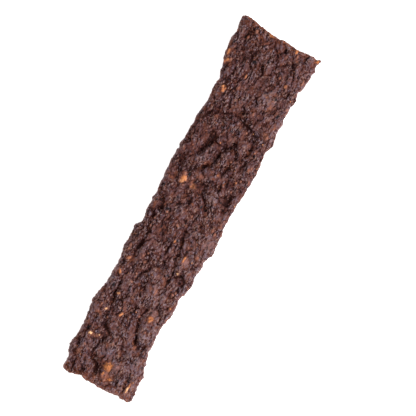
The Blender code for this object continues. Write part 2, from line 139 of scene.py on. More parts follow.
# Finer folds, which only the skin has, from one end to the other.
SKIN_FOLDS = (
    (0.7, ((-76.4, 10.5), (-73.3, 11.2), (-70.5, 11.5), (-69.4, 12.2))),
    (1.0, ((-69.2, 12.6), (-68.0, 13.0), (-66.8, 12.9))),
    (0.9, ((-58.8, 12.8), (-57.4, 12.4), (-56.0, 12.1))),
    (0.7, ((-58.9, 10.8), (-57.6, 9.9), (-56.6, 9.5))), (0.6, ((-55.6, 7.4), (-54.0, 8.5), (-52.0, 8.8))),
    (0.9, ((-75.4, 7.2), (-73.4, 7.5), (-71.8, 7.9))), (0.5, ((-71.8, 7.9), (-69.6, 8.3), (-68.0, 7.8))),
    (0.6, ((-67.6, 6.6), (-67.2, 7.8), (-66.2, 8.3))), (0.8, ((-59.8, 2.7), (-57.5, 2.6), (-56.8, 4.4))),
    (0.7, ((-67.8, 3.6), (-66.6, 3.2), (-65.4, 2.2), (-64.6, 1.4))),
    (0.6, ((-71.0, 1.8), (-69.0, 2.2), (-67.5, 2.0))), (1.1, ((-69.8, 1.2), (-68.2, 0.6), (-65.6, 0.6))),
    (0.8, ((-74.0, 0.4), (-71.8, 0.4), (-70.6, 1.1))),
    (0.5, ((-76.0, -1.4), (-74.8, -1.5), (-73.8, -0.6))),
    (0.5, ((-75.6, -3.4), (-74.6, -4.2), (-73.0, -4.1))),
    (0.4, ((-71.0, -6.3), (-68.8, -7.3), (-67.2, -8.2))),
    (0.7, ((-74.0, -10.7), (-72.0, -10.9), (-69.6, -11.7))), (0.9, ((-64.6, -3.9), (-62.0, -3.4))),
    (0.6, ((-61.2, -3.3), (-59.8, -2.7), (-57.6, -1.9), (-56.2, -1.0), (-55.2, 0.6))),
    (0.9, ((-58.2, -9.8), (-56.3, -10.0))), (0.7, ((-49.0, 7.4), (-47.6, 7.8), (-46.0, 8.4))),
    (0.4, ((-53.6, 6.2), (-51.0, 5.8), (-49.6, 6.6))), (0.8, ((-49.6, 4.6), (-48.2, 5.0), (-46.8, 4.3))),
    (0.5, ((-45.4, 5.2), (-43.4, 5.6), (-42.9, 7.0), (-43.8, 8.2))),
    (0.5, ((-43.2, 4.6), (-41.6, 5.2), (-40.0, 4.6))), (0.5, ((-38.4, 4.2), (-35.6, 3.9), (-33.0, 3.2))),
    (0.7, ((-38.6, 0.8), (-37.2, 1.4), (-36.0, 2.2))), (0.4, ((-40.4, 0.2), (-38.4, 0.0))),
    (1.0, ((-36.0, 0.7), (-34.4, 1.0), (-33.0, 1.5), (-31.4, 1.3))),
    (0.9, ((-43.6, 0.1), (-42.4, 0.4), (-41.4, 1.2))), (0.5, ((-46.0, 0.7), (-44.6, -0.1), (-43.4, 0.2))),
    (0.6, ((-48.4, 2.2), (-47.0, 1.9))), (0.4, ((-51.0, -2.6), (-50.0, -1.2), (-48.8, -0.6))),
    (0.7, ((-47.2, 12.0), (-45.6, 12.3), (-44.2, 12.6))),
    (1.0, ((-30.8, 8.7), (-29.4, 8.7), (-28.0, 8.5))),
    (0.5, ((-36.0, 10.2), (-33.6, 10.4), (-31.6, 9.6), (-30.6, 8.8))),
    (0.8, ((-32.2, 13.8), (-30.6, 13.5), (-29.2, 12.9), (-27.4, 13.1))),
    (0.6, ((-40.4, -6.2), (-39.0, -6.8), (-37.6, -6.5))),
    (0.5, ((-41.4, -9.6), (-40.2, -8.4), (-38.6, -7.6))),
    (0.6, ((-37.4, -7.9), (-35.8, -8.8), (-33.6, -9.2), (-31.4, -9.0))),
    (0.6, ((-38.8, -10.9), (-37.0, -10.6), (-35.8, -11.2))),
    (0.6, ((-45.0, -10.2), (-43.0, -10.4), (-41.0, -10.2))),
    (0.6, ((-33.6, -11.3), (-31.4, -11.8), (-28.8, -11.6))), (0.6, ((-27.6, -1.3), (-25.6, -1.4))),
    (0.6, ((-32.7, -7.1), (-31.0, -6.9), (-29.9, -6.1), (-28.8, -5.8), (-26.0, -5.6))),
    (0.9, ((-22.0, 10.3), (-20.0, 9.6), (-18.2, 8.9), (-17.4, 8.0), (-15.8, 7.0))),
    (0.6, ((-19.8, 12.8), (-17.4, 12.5), (-15.6, 11.4))),
    (0.4, ((-15.6, 12.5), (-13.8, 13.2), (-12.0, 13.0))),
    (1.0, ((-9.6, 10.7), (-8.2, 10.7), (-7.0, 11.7), (-5.8, 12.5))),
    (0.9, ((-7.2, 10.4), (-5.4, 10.2), (-4.2, 9.6), (-2.8, 10.3))),
    (0.4, ((-9.6, 13.2), (-6.8, 13.6), (-4.8, 12.8))),
    (0.8, ((-11.5, 6.5), (-10.1, 6.5), (-8.0, 7.1), (-5.0, 6.5))),
    (0.6, ((-15.2, 2.6), (-14.4, 3.8), (-12.6, 4.8), (-10.6, 5.6))),
    (0.4, ((-6.0, 3.8), (-4.0, 4.7), (-1.4, 5.2))), (0.5, ((-4.2, 6.6), (-2.8, 6.2))),
    (0.9, ((-19.6, 0.1), (-17.0, 0.0), (-14.8, -0.3), (-12.9, 0.3), (-11.2, -0.2), (-9.0, 0.2))),
    (0.7, ((-17.0, -1.5), (-15.6, -0.7))), (0.7, ((-24.8, 0.2), (-23.2, -0.9))),
    (0.7, ((-21.0, -2.0), (-19.4, -2.6), (-18.2, -3.3))),
    (0.7, ((-24.6, -3.6), (-23.4, -2.4), (-21.8, -2.0))),
    (0.6, ((-17.2, -2.9), (-15.8, -2.2), (-14.4, -2.6))), (0.9, ((-10.8, -4.9), (-10.8, -6.6))),
    (0.9, ((-13.8, -7.3), (-12.4, -7.4))), (0.6, ((-17.4, -6.9), (-15.6, -7.2), (-14.0, -6.8))),
    (0.5, ((-19.4, -11.2), (-18.4, -11.6))), (0.4, ((-23.6, -11.4), (-21.0, -12.8))),
    (0.5, ((-4.2, 0.4), (-4.5, -1.6), (-5.2, -3.2))), (0.5, ((0.0, 11.2), (2.2, 11.3))),
    (0.8, ((7.8, 9.2), (9.8, 9.9), (13.2, 8.9))), (0.6, ((4.0, 7.8), (6.6, 8.2))),
    (0.5, ((7.6, 5.8), (7.4, 4.4), (6.4, 3.2))), (0.6, ((7.5, 1.0), (9.4, 1.3), (11.2, 1.2))),
    (0.5, ((5.4, 0.6), (7.0, -0.4), (8.8, -0.2))), (0.5, ((-1.5, 0.8), (0.3, 1.4), (1.8, 0.2))),
    (0.8, ((16.2, 3.2), (15.2, 2.0), (14.2, 1.0))), (0.6, ((2.8, -7.8), (3.6, -9.0), (5.0, -9.3))),
    (0.5, ((12.7, -4.0), (12.8, -6.5), (11.5, -8.4))), (0.4, ((0.4, -4.3), (1.5, -5.6))),
    (0.9, ((17.0, -5.0), (19.3, -5.0), (21.2, -5.8), (22.6, -6.7))),
    (0.7, ((13.5, -8.8), (15.4, -8.6), (17.0, -8.0))), (0.7, ((17.3, -8.2), (17.4, -10.0))),
    (0.9, ((7.6, -11.1), (9.2, -11.3))), (0.5, ((9.3, -10.2), (11.5, -10.0), (13.8, -10.4))),
    (0.6, ((5.0, -10.8), (5.4, -12.3))), (0.5, ((15.9, -12.0), (16.5, -13.7))),
    (0.6, ((9.0, 12.0), (10.8, 11.2))), (0.6, ((15.8, 9.9), (18.2, 11.2))),
    (0.6, ((12.2, 13.2), (13.2, 14.3), (15.5, 14.5))), (0.5, ((17.6, 10.2), (18.6, 9.6), (19.2, 8.6))),
    (0.7, ((22.0, 10.5), (24.0, 12.0), (25.0, 13.5))), (0.8, ((22.9, 3.7), (23.6, 3.2))),
    (0.6, ((20.8, 1.2), (22.4, 0.7), (24.5, 1.4), (26.2, 1.0))), (0.5, ((21.5, -1.7), (24.8, -1.3))),
    (0.8, ((22.0, -10.4), (24.0, -10.0), (25.8, -10.6), (27.4, -11.0))),
    (0.9, ((28.8, 5.9), (31.3, 6.2), (30.4, 4.6))), (0.7, ((28.6, 4.3), (27.9, 2.0), (27.6, 0.5))),
    (0.8, ((35.8, 3.4), (37.0, 3.8))), (0.6, ((31.0, -0.2), (32.7, 0.6), (34.4, 2.2))),
    (0.7, ((34.5, 1.4), (36.0, 1.9), (38.3, 2.0), (39.4, 3.0))),
    (0.7, ((39.2, 8.0), (39.6, 5.2), (40.8, 3.4), (41.2, 1.8))),
    (0.8, ((41.8, 7.4), (42.8, 7.0), (43.4, 7.8))), (0.5, ((41.8, 3.6), (43.0, 5.3), (45.4, 5.6))),
    (0.6, ((41.9, 0.9), (43.0, -0.6), (43.4, -2.5))), (0.5, ((40.2, -2.9), (42.0, -2.7))),
    (0.5, ((40.0, -3.7), (41.9, -3.5))), (0.5, ((39.8, -4.5), (41.6, -4.3))),
    (0.5, ((29.8, -4.6), (28.0, -5.3), (26.6, -6.2))), (0.8, ((30.2, -11.2), (30.6, -13.4))),
    (0.8, ((34.6, -9.2), (36.6, -9.0))), (0.6, ((33.8, -11.0), (37.2, -12.2))),
    (0.7, ((33.4, -13.2), (32.2, -14.6))), (0.7, ((37.4, -10.4), (37.2, -13.0))),
    (0.5, ((40.8, -8.6), (42.4, -9.2), (43.4, -8.4))), (0.6, ((45.2, -2.9), (45.0, -4.4), (46.2, -5.6))),
    (0.5, ((44.6, -6.0), (46.6, -6.8))), (0.6, ((46.2, -0.1), (47.6, -0.3))),
    (0.6, ((47.4, -1.0), (48.1, -2.2))), (0.6, ((43.4, -2.7), (45.6, -3.1))),
    (1.0, ((35.8, 11.3), (37.0, 11.0), (38.2, 10.4))), (0.5, ((37.2, 12.4), (39.0, 11.2))),
    (0.4, ((37.8, 9.8), (38.4, 8.2))), (0.5, ((44.8, 9.6), (47.5, 9.0), (51.0, 8.8))),
    (0.6, ((49.6, 12.8), (51.8, 11.8))), (0.5, ((32.2, -0.9), (34.6, -1.3))),
    (0.8, ((24.4, 1.6), (25.6, 1.2))), (0.7, ((48.3, -9.2), (49.2, -10.8))),
    (1.0, ((56.0, 13.9), (57.4, 13.4), (58.9, 12.7))), (0.6, ((51.0, 12.5), (52.6, 12.2))),
    (0.6, ((51.0, 11.0), (54.8, 10.3), (57.8, 9.9))), (0.7, ((59.8, 11.4), (58.8, 10.6), (59.0, 9.6))),
    (0.8, ((64.3, 6.2), (66.2, 5.7), (68.4, 5.0))), (0.6, ((59.6, 4.1), (60.6, 5.3))),
    (0.9, ((71.3, 4.5), (71.6, 6.6), (72.6, 7.8))), (0.7, ((68.8, 4.8), (71.0, 4.3))),
    (0.5, ((65.6, 8.2), (67.6, 7.6), (68.6, 6.2))), (0.6, ((68.8, 10.6), (70.4, 10.0), (72.2, 10.3))),
    (0.9, ((52.4, 4.0), (54.9, 3.4))), (0.5, ((55.2, 0.8), (56.6, 1.8))),
    (0.6, ((50.8, 1.3), (53.0, 1.3))),
    (0.8, ((65.5, -0.3), (66.2, -2.1), (68.2, -2.2), (70.0, -1.1), (71.2, 0.2), (73.4, 1.2))),
    (0.8, ((69.8, -1.4), (69.9, -2.7), (68.6, -3.2))), (0.9, ((70.4, -5.0), (71.6, -4.2), (73.4, -3.5))),
    (0.7, ((68.0, -9.0), (69.2, -9.6))), (0.5, ((62.3, -5.2), (62.6, -3.6), (64.0, -2.5))),
    (0.6, ((60.2, -1.2), (60.8, -2.8), (62.2, -3.0))), (0.6, ((57.2, -2.5), (59.0, -2.8))),
    (0.7, ((56.4, -5.9), (58.0, -6.4))), (0.6, ((64.2, -6.6), (64.8, -7.8))),
    (0.9, ((61.6, -12.0), (63.4, -11.7), (64.6, -11.1), (65.8, -10.4))),
    (0.9, ((55.6, -12.5), (57.6, -12.8), (59.0, -12.9))), (0.6, ((60.2, -13.2), (61.4, -14.4))),
    (0.5, ((66.5, -12.4), (69.0, -13.1), (72.5, -12.2))),
)

# A fleck's tone runs from pale fat to dark rust, and on to the pink of thin fat.
CREAM, AMBER, BUFF, RUST, PINK = 0.0, 0.35, 0.65, 1.0, 1.35

# Chips of gristle that lie bare in the skin: (along, across, length, width, turn in degrees, tone).
CHIPS = (
    (9.0, 7.9, 2.4, 1.8, -10, 0.22), (9.9, 7.3, 3.2, 2.7, 5, 0.36), (11.7, 7.9, 1.8, 1.3, 0, 0.8),
    (47.2, 10.4, 1.7, 1.1, 30, 0.42), (48.5, 10.9, 1.4, 1.3, 0, 0.28), (48.0, 9.9, 1.3, 0.7, -20, AMBER),
    (-72.4, -11.8, 3.4, 0.9, -5, 0.12), (-70.6, -11.9, 2.2, 0.6, 0, AMBER),
    (-71.3, -0.6, 1.8, 0.9, -15, 0.42), (-72.2, -4.0, 0.8, 2.2, 20, AMBER),
    (-73.1, -2.2, 1.3, 0.8, 0, BUFF), (-59.6, 11.1, 1.8, 1.2, -60, CREAM),
    (-58.7, 7.6, 0.6, 0.6, 0, CREAM), (-64.3, 11.0, 0.8, 0.6, 10, BUFF),
    (-48.6, 10.2, 1.3, 0.9, -50, CREAM), (-51.2, 8.1, 0.7, 0.5, 0, BUFF),
    (-47.8, 3.9, 2.4, 1.0, -25, 0.3), (-47.5, 12.5, 2.0, 0.6, 5, BUFF), (-74.0, 1.5, 0.8, 0.6, 0, BUFF),
    (-41.1, 8.8, 1.5, 0.9, -60, 0.2), (-33.2, 12.2, 2.4, 0.8, 30, AMBER),
    (-27.0, 11.7, 2.0, 1.0, -35, 0.5), (-23.8, 13.4, 1.2, 0.6, 0, BUFF), (-22.3, 13.4, 1.2, 0.6, 0, BUFF),
    (-23.6, 7.2, 0.8, 0.7, 0, BUFF), (-25.6, 5.5, 0.9, 0.8, 0, BUFF), (-31.1, 6.2, 0.7, 0.7, 0, BUFF),
    (-34.7, 6.4, 0.9, 0.8, 0, BUFF), (-22.1, 5.8, 0.6, 0.6, 0, BUFF), (-23.7, -7.8, 1.1, 1.0, 0, CREAM),
    (-18.0, -7.5, 3.6, 0.8, -5, AMBER), (-44.6, -7.0, 1.9, 1.2, -20, 0.3),
    (-43.8, -6.4, 1.0, 0.9, 30, 0.45), (-49.7, -7.4, 0.9, 0.7, 0, BUFF), (-45.3, -2.6, 0.8, 0.7, 0, BUFF),
    (-37.0, -11.8, 0.8, 0.6, 0, AMBER), (-31.8, -10.0, 0.9, 0.7, 0, BUFF),
    (-30.8, -10.8, 0.8, 0.7, 0, BUFF), (-41.8, -12.5, 1.0, 0.6, 0, BUFF),
    (-30.2, -13.4, 0.8, 0.6, 0, BUFF), (-27.0, -14.2, 0.8, 0.6, 0, BUFF),
    (-34.0, -3.8, 2.8, 0.6, 0, BUFF), (-13.2, -1.0, 1.5, 0.8, 0, AMBER),
    (-14.7, -11.7, 1.7, 1.1, 10, 0.8), (-12.9, -6.8, 0.8, 0.7, 0, BUFF), (-10.3, -9.0, 1.0, 0.7, 0, RUST),
    (-4.4, 7.1, 0.9, 0.9, 0, BUFF), (-12.0, 10.3, 0.7, 0.5, 0, BUFF), (-8.7, 10.2, 0.7, 0.5, 0, BUFF),
    (-7.2, 1.1, 0.8, 0.9, 20, BUFF), (7.7, 6.6, 0.7, 0.7, 0, BUFF), (-1.7, -2.2, 0.9, 0.7, 0, BUFF),
    (2.7, -0.2, 0.9, 0.7, 0, RUST), (-1.8, -9.1, 0.8, 0.5, 0, BUFF), (-2.9, -12.0, 1.0, 0.8, 0, BUFF),
    (-3.5, -13.3, 1.1, 0.7, 0, BUFF), (17.1, -3.6, 1.0, 0.7, -20, AMBER), (18.9, 3.2, 0.9, 0.7, 0, BUFF),
    (14.7, -7.2, 1.1, 0.7, 0, RUST), (13.7, -11.1, 0.9, 0.6, 0, BUFF), (17.8, -11.2, 0.8, 0.6, 0, AMBER),
    (19.2, -12.5, 0.7, 0.6, 0, BUFF), (20.1, -15.4, 0.9, 0.6, 0, BUFF), (24.0, -5.6, 0.8, 0.7, 0, BUFF),
    (25.6, -13.7, 0.8, 0.6, 0, BUFF), (24.4, -13.0, 1.0, 0.8, 0, RUST), (36.7, -5.6, 1.0, 0.8, 0, BUFF),
    (37.4, -2.6, 0.9, 0.8, 0, BUFF), (44.3, -4.5, 1.2, 0.8, 0, BUFF), (38.7, -13.4, 1.9, 0.9, 0, BUFF),
    (43.3, -14.2, 1.6, 0.6, 0, RUST), (61.4, 15.5, 2.6, 0.9, 5, AMBER), (57.4, 15.1, 1.2, 0.9, 25, 0.45),
    (58.4, 14.4, 1.2, 1.1, -70, AMBER), (59.1, 13.3, 1.2, 0.8, 10, BUFF), (56.0, 5.0, 2.0, 0.6, 0, 0.5),
    (50.7, 5.4, 1.2, 0.5, 0, BUFF), (69.8, 11.4, 1.4, 0.7, 0, RUST), (73.2, 9.4, 1.5, 1.1, 0, BUFF),
    (73.5, -7.8, 2.0, 1.1, -5, AMBER), (71.8, -9.0, 1.8, 0.5, 0, BUFF), (70.3, -9.6, 1.1, 0.8, 0, RUST),
    (59.6, -10.4, 1.4, 1.1, 0, 0.5), (52.3, -8.8, 0.8, 0.7, 0, BUFF), (61.5, -6.9, 1.0, 0.7, 0, RUST),
    (64.0, -15.6, 2.2, 0.6, 0, BUFF), (52.0, -15.0, 1.0, 0.6, 0, BUFF),
    (74.0, -16.7, 1.3, 0.9, -50, AMBER),
)

# Soft stains, where fat lies just under the skin, in the same six numbers.
STAINS = (
    (-68.2, -1.4, 5.2, 4.8, -25, 0.32), (-72.0, -2.4, 3.4, 5.6, 10, 0.85),
    (-67.6, -4.0, 4.8, 3.4, 0, PINK), (-67.8, 11.9, 2.6, 1.4, 0, BUFF), (-59.4, 9.0, 2.2, 3.2, 20, 0.65),
    (-51.1, 11.8, 1.8, 2.8, 0, 0.85), (-56.5, -6.0, 2.4, 1.6, 25, 0.85), (-43.9, -7.0, 3.2, 3.4, 0, 0.35),
    (-41.6, -7.2, 3.8, 3.8, 0, PINK), (-41.4, 2.5, 2.2, 1.2, 0, RUST), (-45.5, 3.6, 1.6, 1.6, 0, 1.15),
    (-38.5, 3.0, 2.0, 1.4, 0, 1.15), (-33.0, -3.1, 5.2, 1.7, 18, PINK), (-17.6, -8.7, 3.8, 1.7, 0, PINK),
    (8.7, 2.9, 3.2, 3.0, 0, 0.5), (13.5, 2.2, 2.6, 2.8, 30, 1.1), (11.6, 4.4, 1.3, 1.0, -30, PINK),
    (8.1, 12.1, 1.2, 2.6, 0, RUST), (-8.5, -12.8, 5.0, 2.6, -35, PINK), (49.5, -9.0, 3.6, 2.4, 0, 0.65),
    (48.2, -5.9, 2.8, 1.8, -20, PINK), (72.3, 6.6, 0.9, 1.8, 0, RUST), (74.4, 3.8, 1.6, 3.4, 0, 0.38),
    (73.7, -16.7, 2.8, 1.8, -40, AMBER), (31.5, -1.6, 3.0, 2.0, -30, 1.2),
    (-75.6, 4.8, 1.6, 2.6, 0, BUFF), (39.2, -12.8, 3.2, 2.2, 0, BUFF), (58.3, 14.3, 3.4, 2.4, -40, 0.6),
    (61.4, 15.4, 3.4, 1.4, 5, RUST),
)

# Broad mounds and hollows, in the same six numbers, the last being how far it stands up and how pale it
# is painted: a mound's paleness is painted light, and a hollow, below 0, gets painted shade.
MOUNDS = (
    (-70.5, 7.5, 4, 4, 0, 0.5), (-62, 2.5, 6, 6, 0, 0.3), (-67, -6.5, 8, 4, 0, 0.6),
    (-51, -8, 4, 5, 0, 0.8), (-61, -9.8, 5, 3, 0, 0.8), (-69, 1.8, 9, 2.5, 0, -1.7),
    (-20, -0.2, 7, 2.5, 0, -1.2), (-48, 10.5, 5, 2, 0, 0.3), (39.5, -0.5, 2.5, 3, 0, 0.6),
    (70, 9.5, 4, 2, 0, 0.7), (53, -0.2, 5, 3, 0, -0.3), (50, 11.2, 6, 2, 0, -0.9),
    (0, -9.5, 5, 2.5, 0, -0.3), (-34, -2.5, 6, 4, 25, 0.7), (-38, -4.5, 4, 3, 20, 0.8),
    (-35, 7.8, 6, 4, 0, 0.3), (-22.5, -7.7, 4, 5, 0, 0.4), (-6, -12.5, 7, 3, 0, 0.2),
    (0.5, -12.5, 6, 3, 0, 0.1), (-2.5, 3, 5, 4, 0, 0.5), (-19, 3.6, 5, 3, 0, 0.3),
    (8, -5.5, 6, 5, 0, 1.4), (13, 3, 3, 4, 0, 0.1), (19.8, 5.6, 8, 4, -50, 1.0), (24, 10.3, 6, 4, 0, 1.0),
    (16, -0.5, 4, 3, 0, 0.2), (24, -2.9, 4, 3, 0, 0.2), (36.5, -1, 5, 5, 0, 0.8),
    (30.4, -7.7, 5, 4, 0, 0.8), (35.4, 5.3, 2.5, 5, 0, 1.0), (19.5, -12.3, 5, 4, 0, 0.4),
    (40, -12, 6, 5, 0, 0.3), (46, 1, 5, 4, 0, 0.1), (51.6, -6.8, 7, 6, 0, 0.6), (61, -7.7, 6, 5, 0, 0.1),
    (60, 3, 5, 5, 0, 0.5), (69, 14, 6, 2.5, 0, 0.5), (69, 6, 6, 3, 0, 0.0), (-52, 12.5, 6, 2, 0, 0.4),
    (-43, 1.5, 5, 3, 0, -0.4), (-73.7, 7.3, 3, 3, 0, -0.6), (-64, 5.7, 7, 2.5, 0, 0.5),
    (-56, 5, 4, 4, 40, -0.5), (-62, -3, 6, 2, 0, -0.5), (-55.5, -7.5, 3, 6, 0, -0.8),
    (-28, 3, 4, 4, 0, -0.4), (-30, 10, 7, 2.5, 0, -0.9), (-26.2, -9.8, 3, 6, 0, -0.9),
    (-30.5, -9.5, 5, 4, 0, -0.5), (-21, -1.8, 5, 2, 0, -0.6), (-11, 5.5, 6, 5, 0, -1.0),
    (-3, 10.3, 9, 3, 0, -1.0), (3.5, -6, 2, 6, 0, -0.6), (9.5, -1, 4, 3, 0, -0.6),
    (4, 3.5, 4, 4, 0, -0.5), (28.3, 5.1, 6, 4, 0, -1.3), (39, 6.5, 3, 6, 0, -0.4),
    (28.5, -2, 3, 6, 0, -0.6), (21, -6, 4, 3, 0, -1.3), (15.5, -8.5, 3.5, 3.5, 0, -0.9),
    (9, -11.3, 8, 4, 0, -1.5), (36.5, -8, 4, 5, 50, -0.6), (50, 8, 8, 3, 0, -0.9),
    (61.5, 10, 6, 4, 0, -0.3), (57.5, -12.3, 4, 2, 0, -0.8), (66.5, -5, 3, 6, 0, -0.3),
    (72, -12, 4, 3, 0, -0.7), (61, -11.5, 5, 3, 0, -0.3), (51, -11.5, 4, 2.5, 0, -0.9),
    (-68, -1.5, 5, 4, 0, -0.4), (-69, -10.5, 6, 3, 0, -0.5), (-42, 10.8, 5, 2.5, 0, -0.4),
    (40, 10.5, 4, 3, 0, 0.4), (-22, 12.8, 6, 2, 0, 0.3), (66.5, 9.2, 3, 2, 0, -0.6),
    (-10, -8.5, 6, 4, 0, -0.4), (-9.5, -3.5, 6, 2, 0, 0.7), (43.5, -8.5, 3, 4, 0, -0.4),
)

# Blue-black specks of dried blood: (along, across, length, width, turn in degrees).
SPECKS = (
    (12.3, 6.4, 1.5, 0.9, 30), (3.4, -3.7, 0.9, 0.8, 0), (-12.3, -2.0, 1.0, 0.7, 20),
    (-38.8, 12.0, 2.2, 1.2, 15), (-38.2, 5.8, 0.9, 0.7, 0), (-26.0, -4.9, 0.9, 0.8, 0),
    (-57.7, 12.5, 1.7, 0.7, -20), (-62.1, -10.3, 0.9, 0.9, 0), (-62.3, -13.1, 1.2, 0.7, 0),
    (-72.4, -5.7, 1.1, 0.7, 0), (-53.0, 2.9, 1.0, 0.5, 0), (47.8, -13.2, 1.6, 1.0, 0),
    (62.5, 4.6, 1.4, 1.3, 0), (53.6, -4.8, 1.1, 0.6, 20), (53.5, -9.7, 0.9, 0.8, 0),
)


class MeatProperties(bpy.types.PropertyGroup):
    """Sizes and colours of the dried meat."""

    voxel: FloatProperty(
        name="Mesh Size", description="Edge of the skin's faces", default=0.29 * MM, unit="LENGTH",
        precision=5)
    kept_share: FloatProperty(
        name="Kept Share", description="Share of the skin's triangles that is kept", default=0.6,
        min=0.05, max=1.0)
    plate_size: FloatProperty(
        name="Plate Size", description="Width of a pressed plate of mince", default=3.2 * MM,
        unit="LENGTH", precision=5)
    plate_height: FloatProperty(
        name="Plate Height", description="How far a plate steps up from the next", default=0.2 * MM,
        unit="LENGTH", precision=5)
    flake_size: FloatProperty(
        name="Flake Size", description="Width of a flake on a plate", default=1.3 * MM, unit="LENGTH",
        precision=5)
    flake_height: FloatProperty(
        name="Flake Height", description="How far a flake steps up from the next", default=0.1 * MM,
        unit="LENGTH", precision=5)
    tilt: FloatProperty(
        name="Tilt", description="How steeply plates and flakes rise towards their far edge", default=0.16)
    lump_size: FloatProperty(
        name="Lump Size", description="Width of a lump of mince", default=5.2 * MM, unit="LENGTH",
        precision=5)
    lump_height: FloatProperty(
        name="Lump Height", description="How far a lump stands up", default=0.65 * MM, unit="LENGTH",
        precision=5)
    wrinkle_size: FloatProperty(
        name="Wrinkle Size", description="Width of a wrinkle", default=2.6 * MM, unit="LENGTH",
        precision=5)
    wrinkle_height: FloatProperty(
        name="Wrinkle Height", description="How far a wrinkle stands up", default=0.15 * MM,
        unit="LENGTH", precision=5)
    grain_size: FloatProperty(
        name="Grain Size", description="Width of a grain of the skin", default=0.7 * MM, unit="LENGTH",
        precision=5)
    grain_height: FloatProperty(
        name="Grain Height", description="How far a grain stands up", default=0.06 * MM, unit="LENGTH",
        precision=5)
    crack_depth: FloatProperty(
        name="Crack Depth", description="How deep the cracks between the grains of meat are",
        default=0.25 * MM, unit="LENGTH", precision=5)
    fold_width: FloatProperty(
        name="Fold Width", description="Half the width of a crease", default=0.29 * MM, unit="LENGTH",
        precision=5)
    swell: FloatProperty(
        name="Swell", description="How far the walls stand out past the solid", default=0.15 * MM,
        unit="LENGTH", precision=5)
    mound_height: FloatProperty(
        name="Mound Height", description="How far a mound stands up", default=0.45 * MM, unit="LENGTH",
        precision=5)
    torn_height: FloatProperty(
        name="Torn Height", description="How far crumbs stand out of the walls", default=2.3 * MM,
        unit="LENGTH", precision=5)
    seed: IntProperty(
        name="Seed", description="Shuffles the lumps and the wrinkles", default=3, min=0)
    # Painted shade: the meat's colour deep in its folds, cracks and hollows.
    hollow_shade_colour: FloatVectorProperty(
        name="Hollow Colour", description="The meat deep in its folds", subtype="COLOR", size=4,
        default=(0.016, 0.002, 0.0015, 1.0), min=0.0, max=1.0)
    lean_colour: FloatVectorProperty(
        name="Lean Colour", description="The meat on its open faces", subtype="COLOR", size=4,
        default=(0.078, 0.0237, 0.0197, 1.0), min=0.0, max=1.0)
    # The meat's paler colour on its ridges, partly its own and partly painted sheen.
    ridge_sheen_colour: FloatVectorProperty(
        name="Ridge Colour", description="The dry bloom on the meat's ridges", subtype="COLOR", size=4,
        default=(0.16, 0.0905, 0.092, 1.0), min=0.0, max=1.0)
    # Painted highlight: the palest colour, on glints, walls and the highest ridges.
    highlight_colour: FloatVectorProperty(
        name="Highlight Colour", description="The palest, driest places", subtype="COLOR", size=4,
        default=(0.26, 0.165, 0.16, 1.0), min=0.0, max=1.0)
    brown_colour: FloatVectorProperty(
        name="Brown Colour", description="Patches of warmer brown meat", subtype="COLOR", size=4,
        default=(0.1, 0.034, 0.022, 1.0), min=0.0, max=1.0)
    speck_colour: FloatVectorProperty(
        name="Speck Colour", description="Specks of dried blood", subtype="COLOR", size=4,
        default=(0.012, 0.013, 0.017, 1.0), min=0.0, max=1.0)


# The settings that the skin's node tree takes as numbers.
SKIN_NUMBERS = (
    "fold_width", "mound_height", "plate_size", "plate_height", "flake_size", "flake_height", "tilt",
    "lump_size", "lump_height", "wrinkle_size", "wrinkle_height", "grain_size", "grain_height",
    "crack_depth", "torn_height", "swell", "seed",
)


class FleckProperties(bpy.types.PropertyGroup):
    """Sizes and colours of the gristle flecks."""

    proud: FloatProperty(
        name="Proud", description="How far a chip stands out of the skin", default=0.1 * MM,
        unit="LENGTH", precision=5)
    scattered: FloatProperty(
        name="Scattered Chips", description="Small chips for each square metre of skin", default=17000.0,
        min=0.0)
    smallest: FloatProperty(
        name="Smallest Chip", description="Half the width of the smallest scattered chip",
        default=0.1 * MM, unit="LENGTH", precision=5)
    largest: FloatProperty(
        name="Largest Chip", description="Half the width of the largest scattered chip",
        default=0.26 * MM, unit="LENGTH", precision=5)
    seed: IntProperty(
        name="Seed", description="Shuffles the scattered chips", default=7, min=0)
    cream: FloatVectorProperty(
        name="Cream", description="The palest fat", subtype="COLOR", size=4,
        default=(0.78, 0.43, 0.22, 1.0), min=0.0, max=1.0)
    amber: FloatVectorProperty(
        name="Amber", description="Dried fat", subtype="COLOR", size=4, default=(0.49, 0.168, 0.057, 1.0),
        min=0.0, max=1.0)
    buff: FloatVectorProperty(
        name="Buff", description="Fat mixed with meat", subtype="COLOR", size=4,
        default=(0.275, 0.107, 0.071, 1.0), min=0.0, max=1.0)
    rim: FloatVectorProperty(
        name="Rim", description="The browned rim of the cut ends", subtype="COLOR", size=4,
        default=(0.26, 0.071, 0.026, 1.0), min=0.0, max=1.0)
    rust: FloatVectorProperty(
        name="Rust", description="Fat under a film of meat", subtype="COLOR", size=4,
        default=(0.21, 0.066, 0.036, 1.0), min=0.0, max=1.0)
    pink: FloatVectorProperty(
        name="Pink", description="Thin fat close under the skin", subtype="COLOR", size=4,
        default=(0.235, 0.115, 0.105, 1.0), min=0.0, max=1.0)


class StageProperties(bpy.types.PropertyGroup):
    """The floor, the lights and the camera."""

    floor_colour: FloatVectorProperty(
        name="Floor Colour", description="Colour of the floor", subtype="COLOR", size=4,
        default=(0.93, 0.93, 0.93, 1.0), min=0.0, max=1.0)
    floor_glow: FloatProperty(
        name="Floor Glow", description="How brightly the floor is lit from below", default=0.7, min=0.0)
    key_power: FloatProperty(
        name="Key Light", description="Power of the soft light beside the strip", default=6.8, min=0.0)
    fill_power: FloatProperty(
        name="Fill Light", description="Power of the soft light overhead", default=1.5, min=0.0)
    sky_strength: FloatProperty(
        name="Room Light", description="Strength of the even light from all round", default=0.46, min=0.0)
    lens: FloatProperty(
        name="Lens", description="Focal length in millimetres", default=200.0, min=20.0)


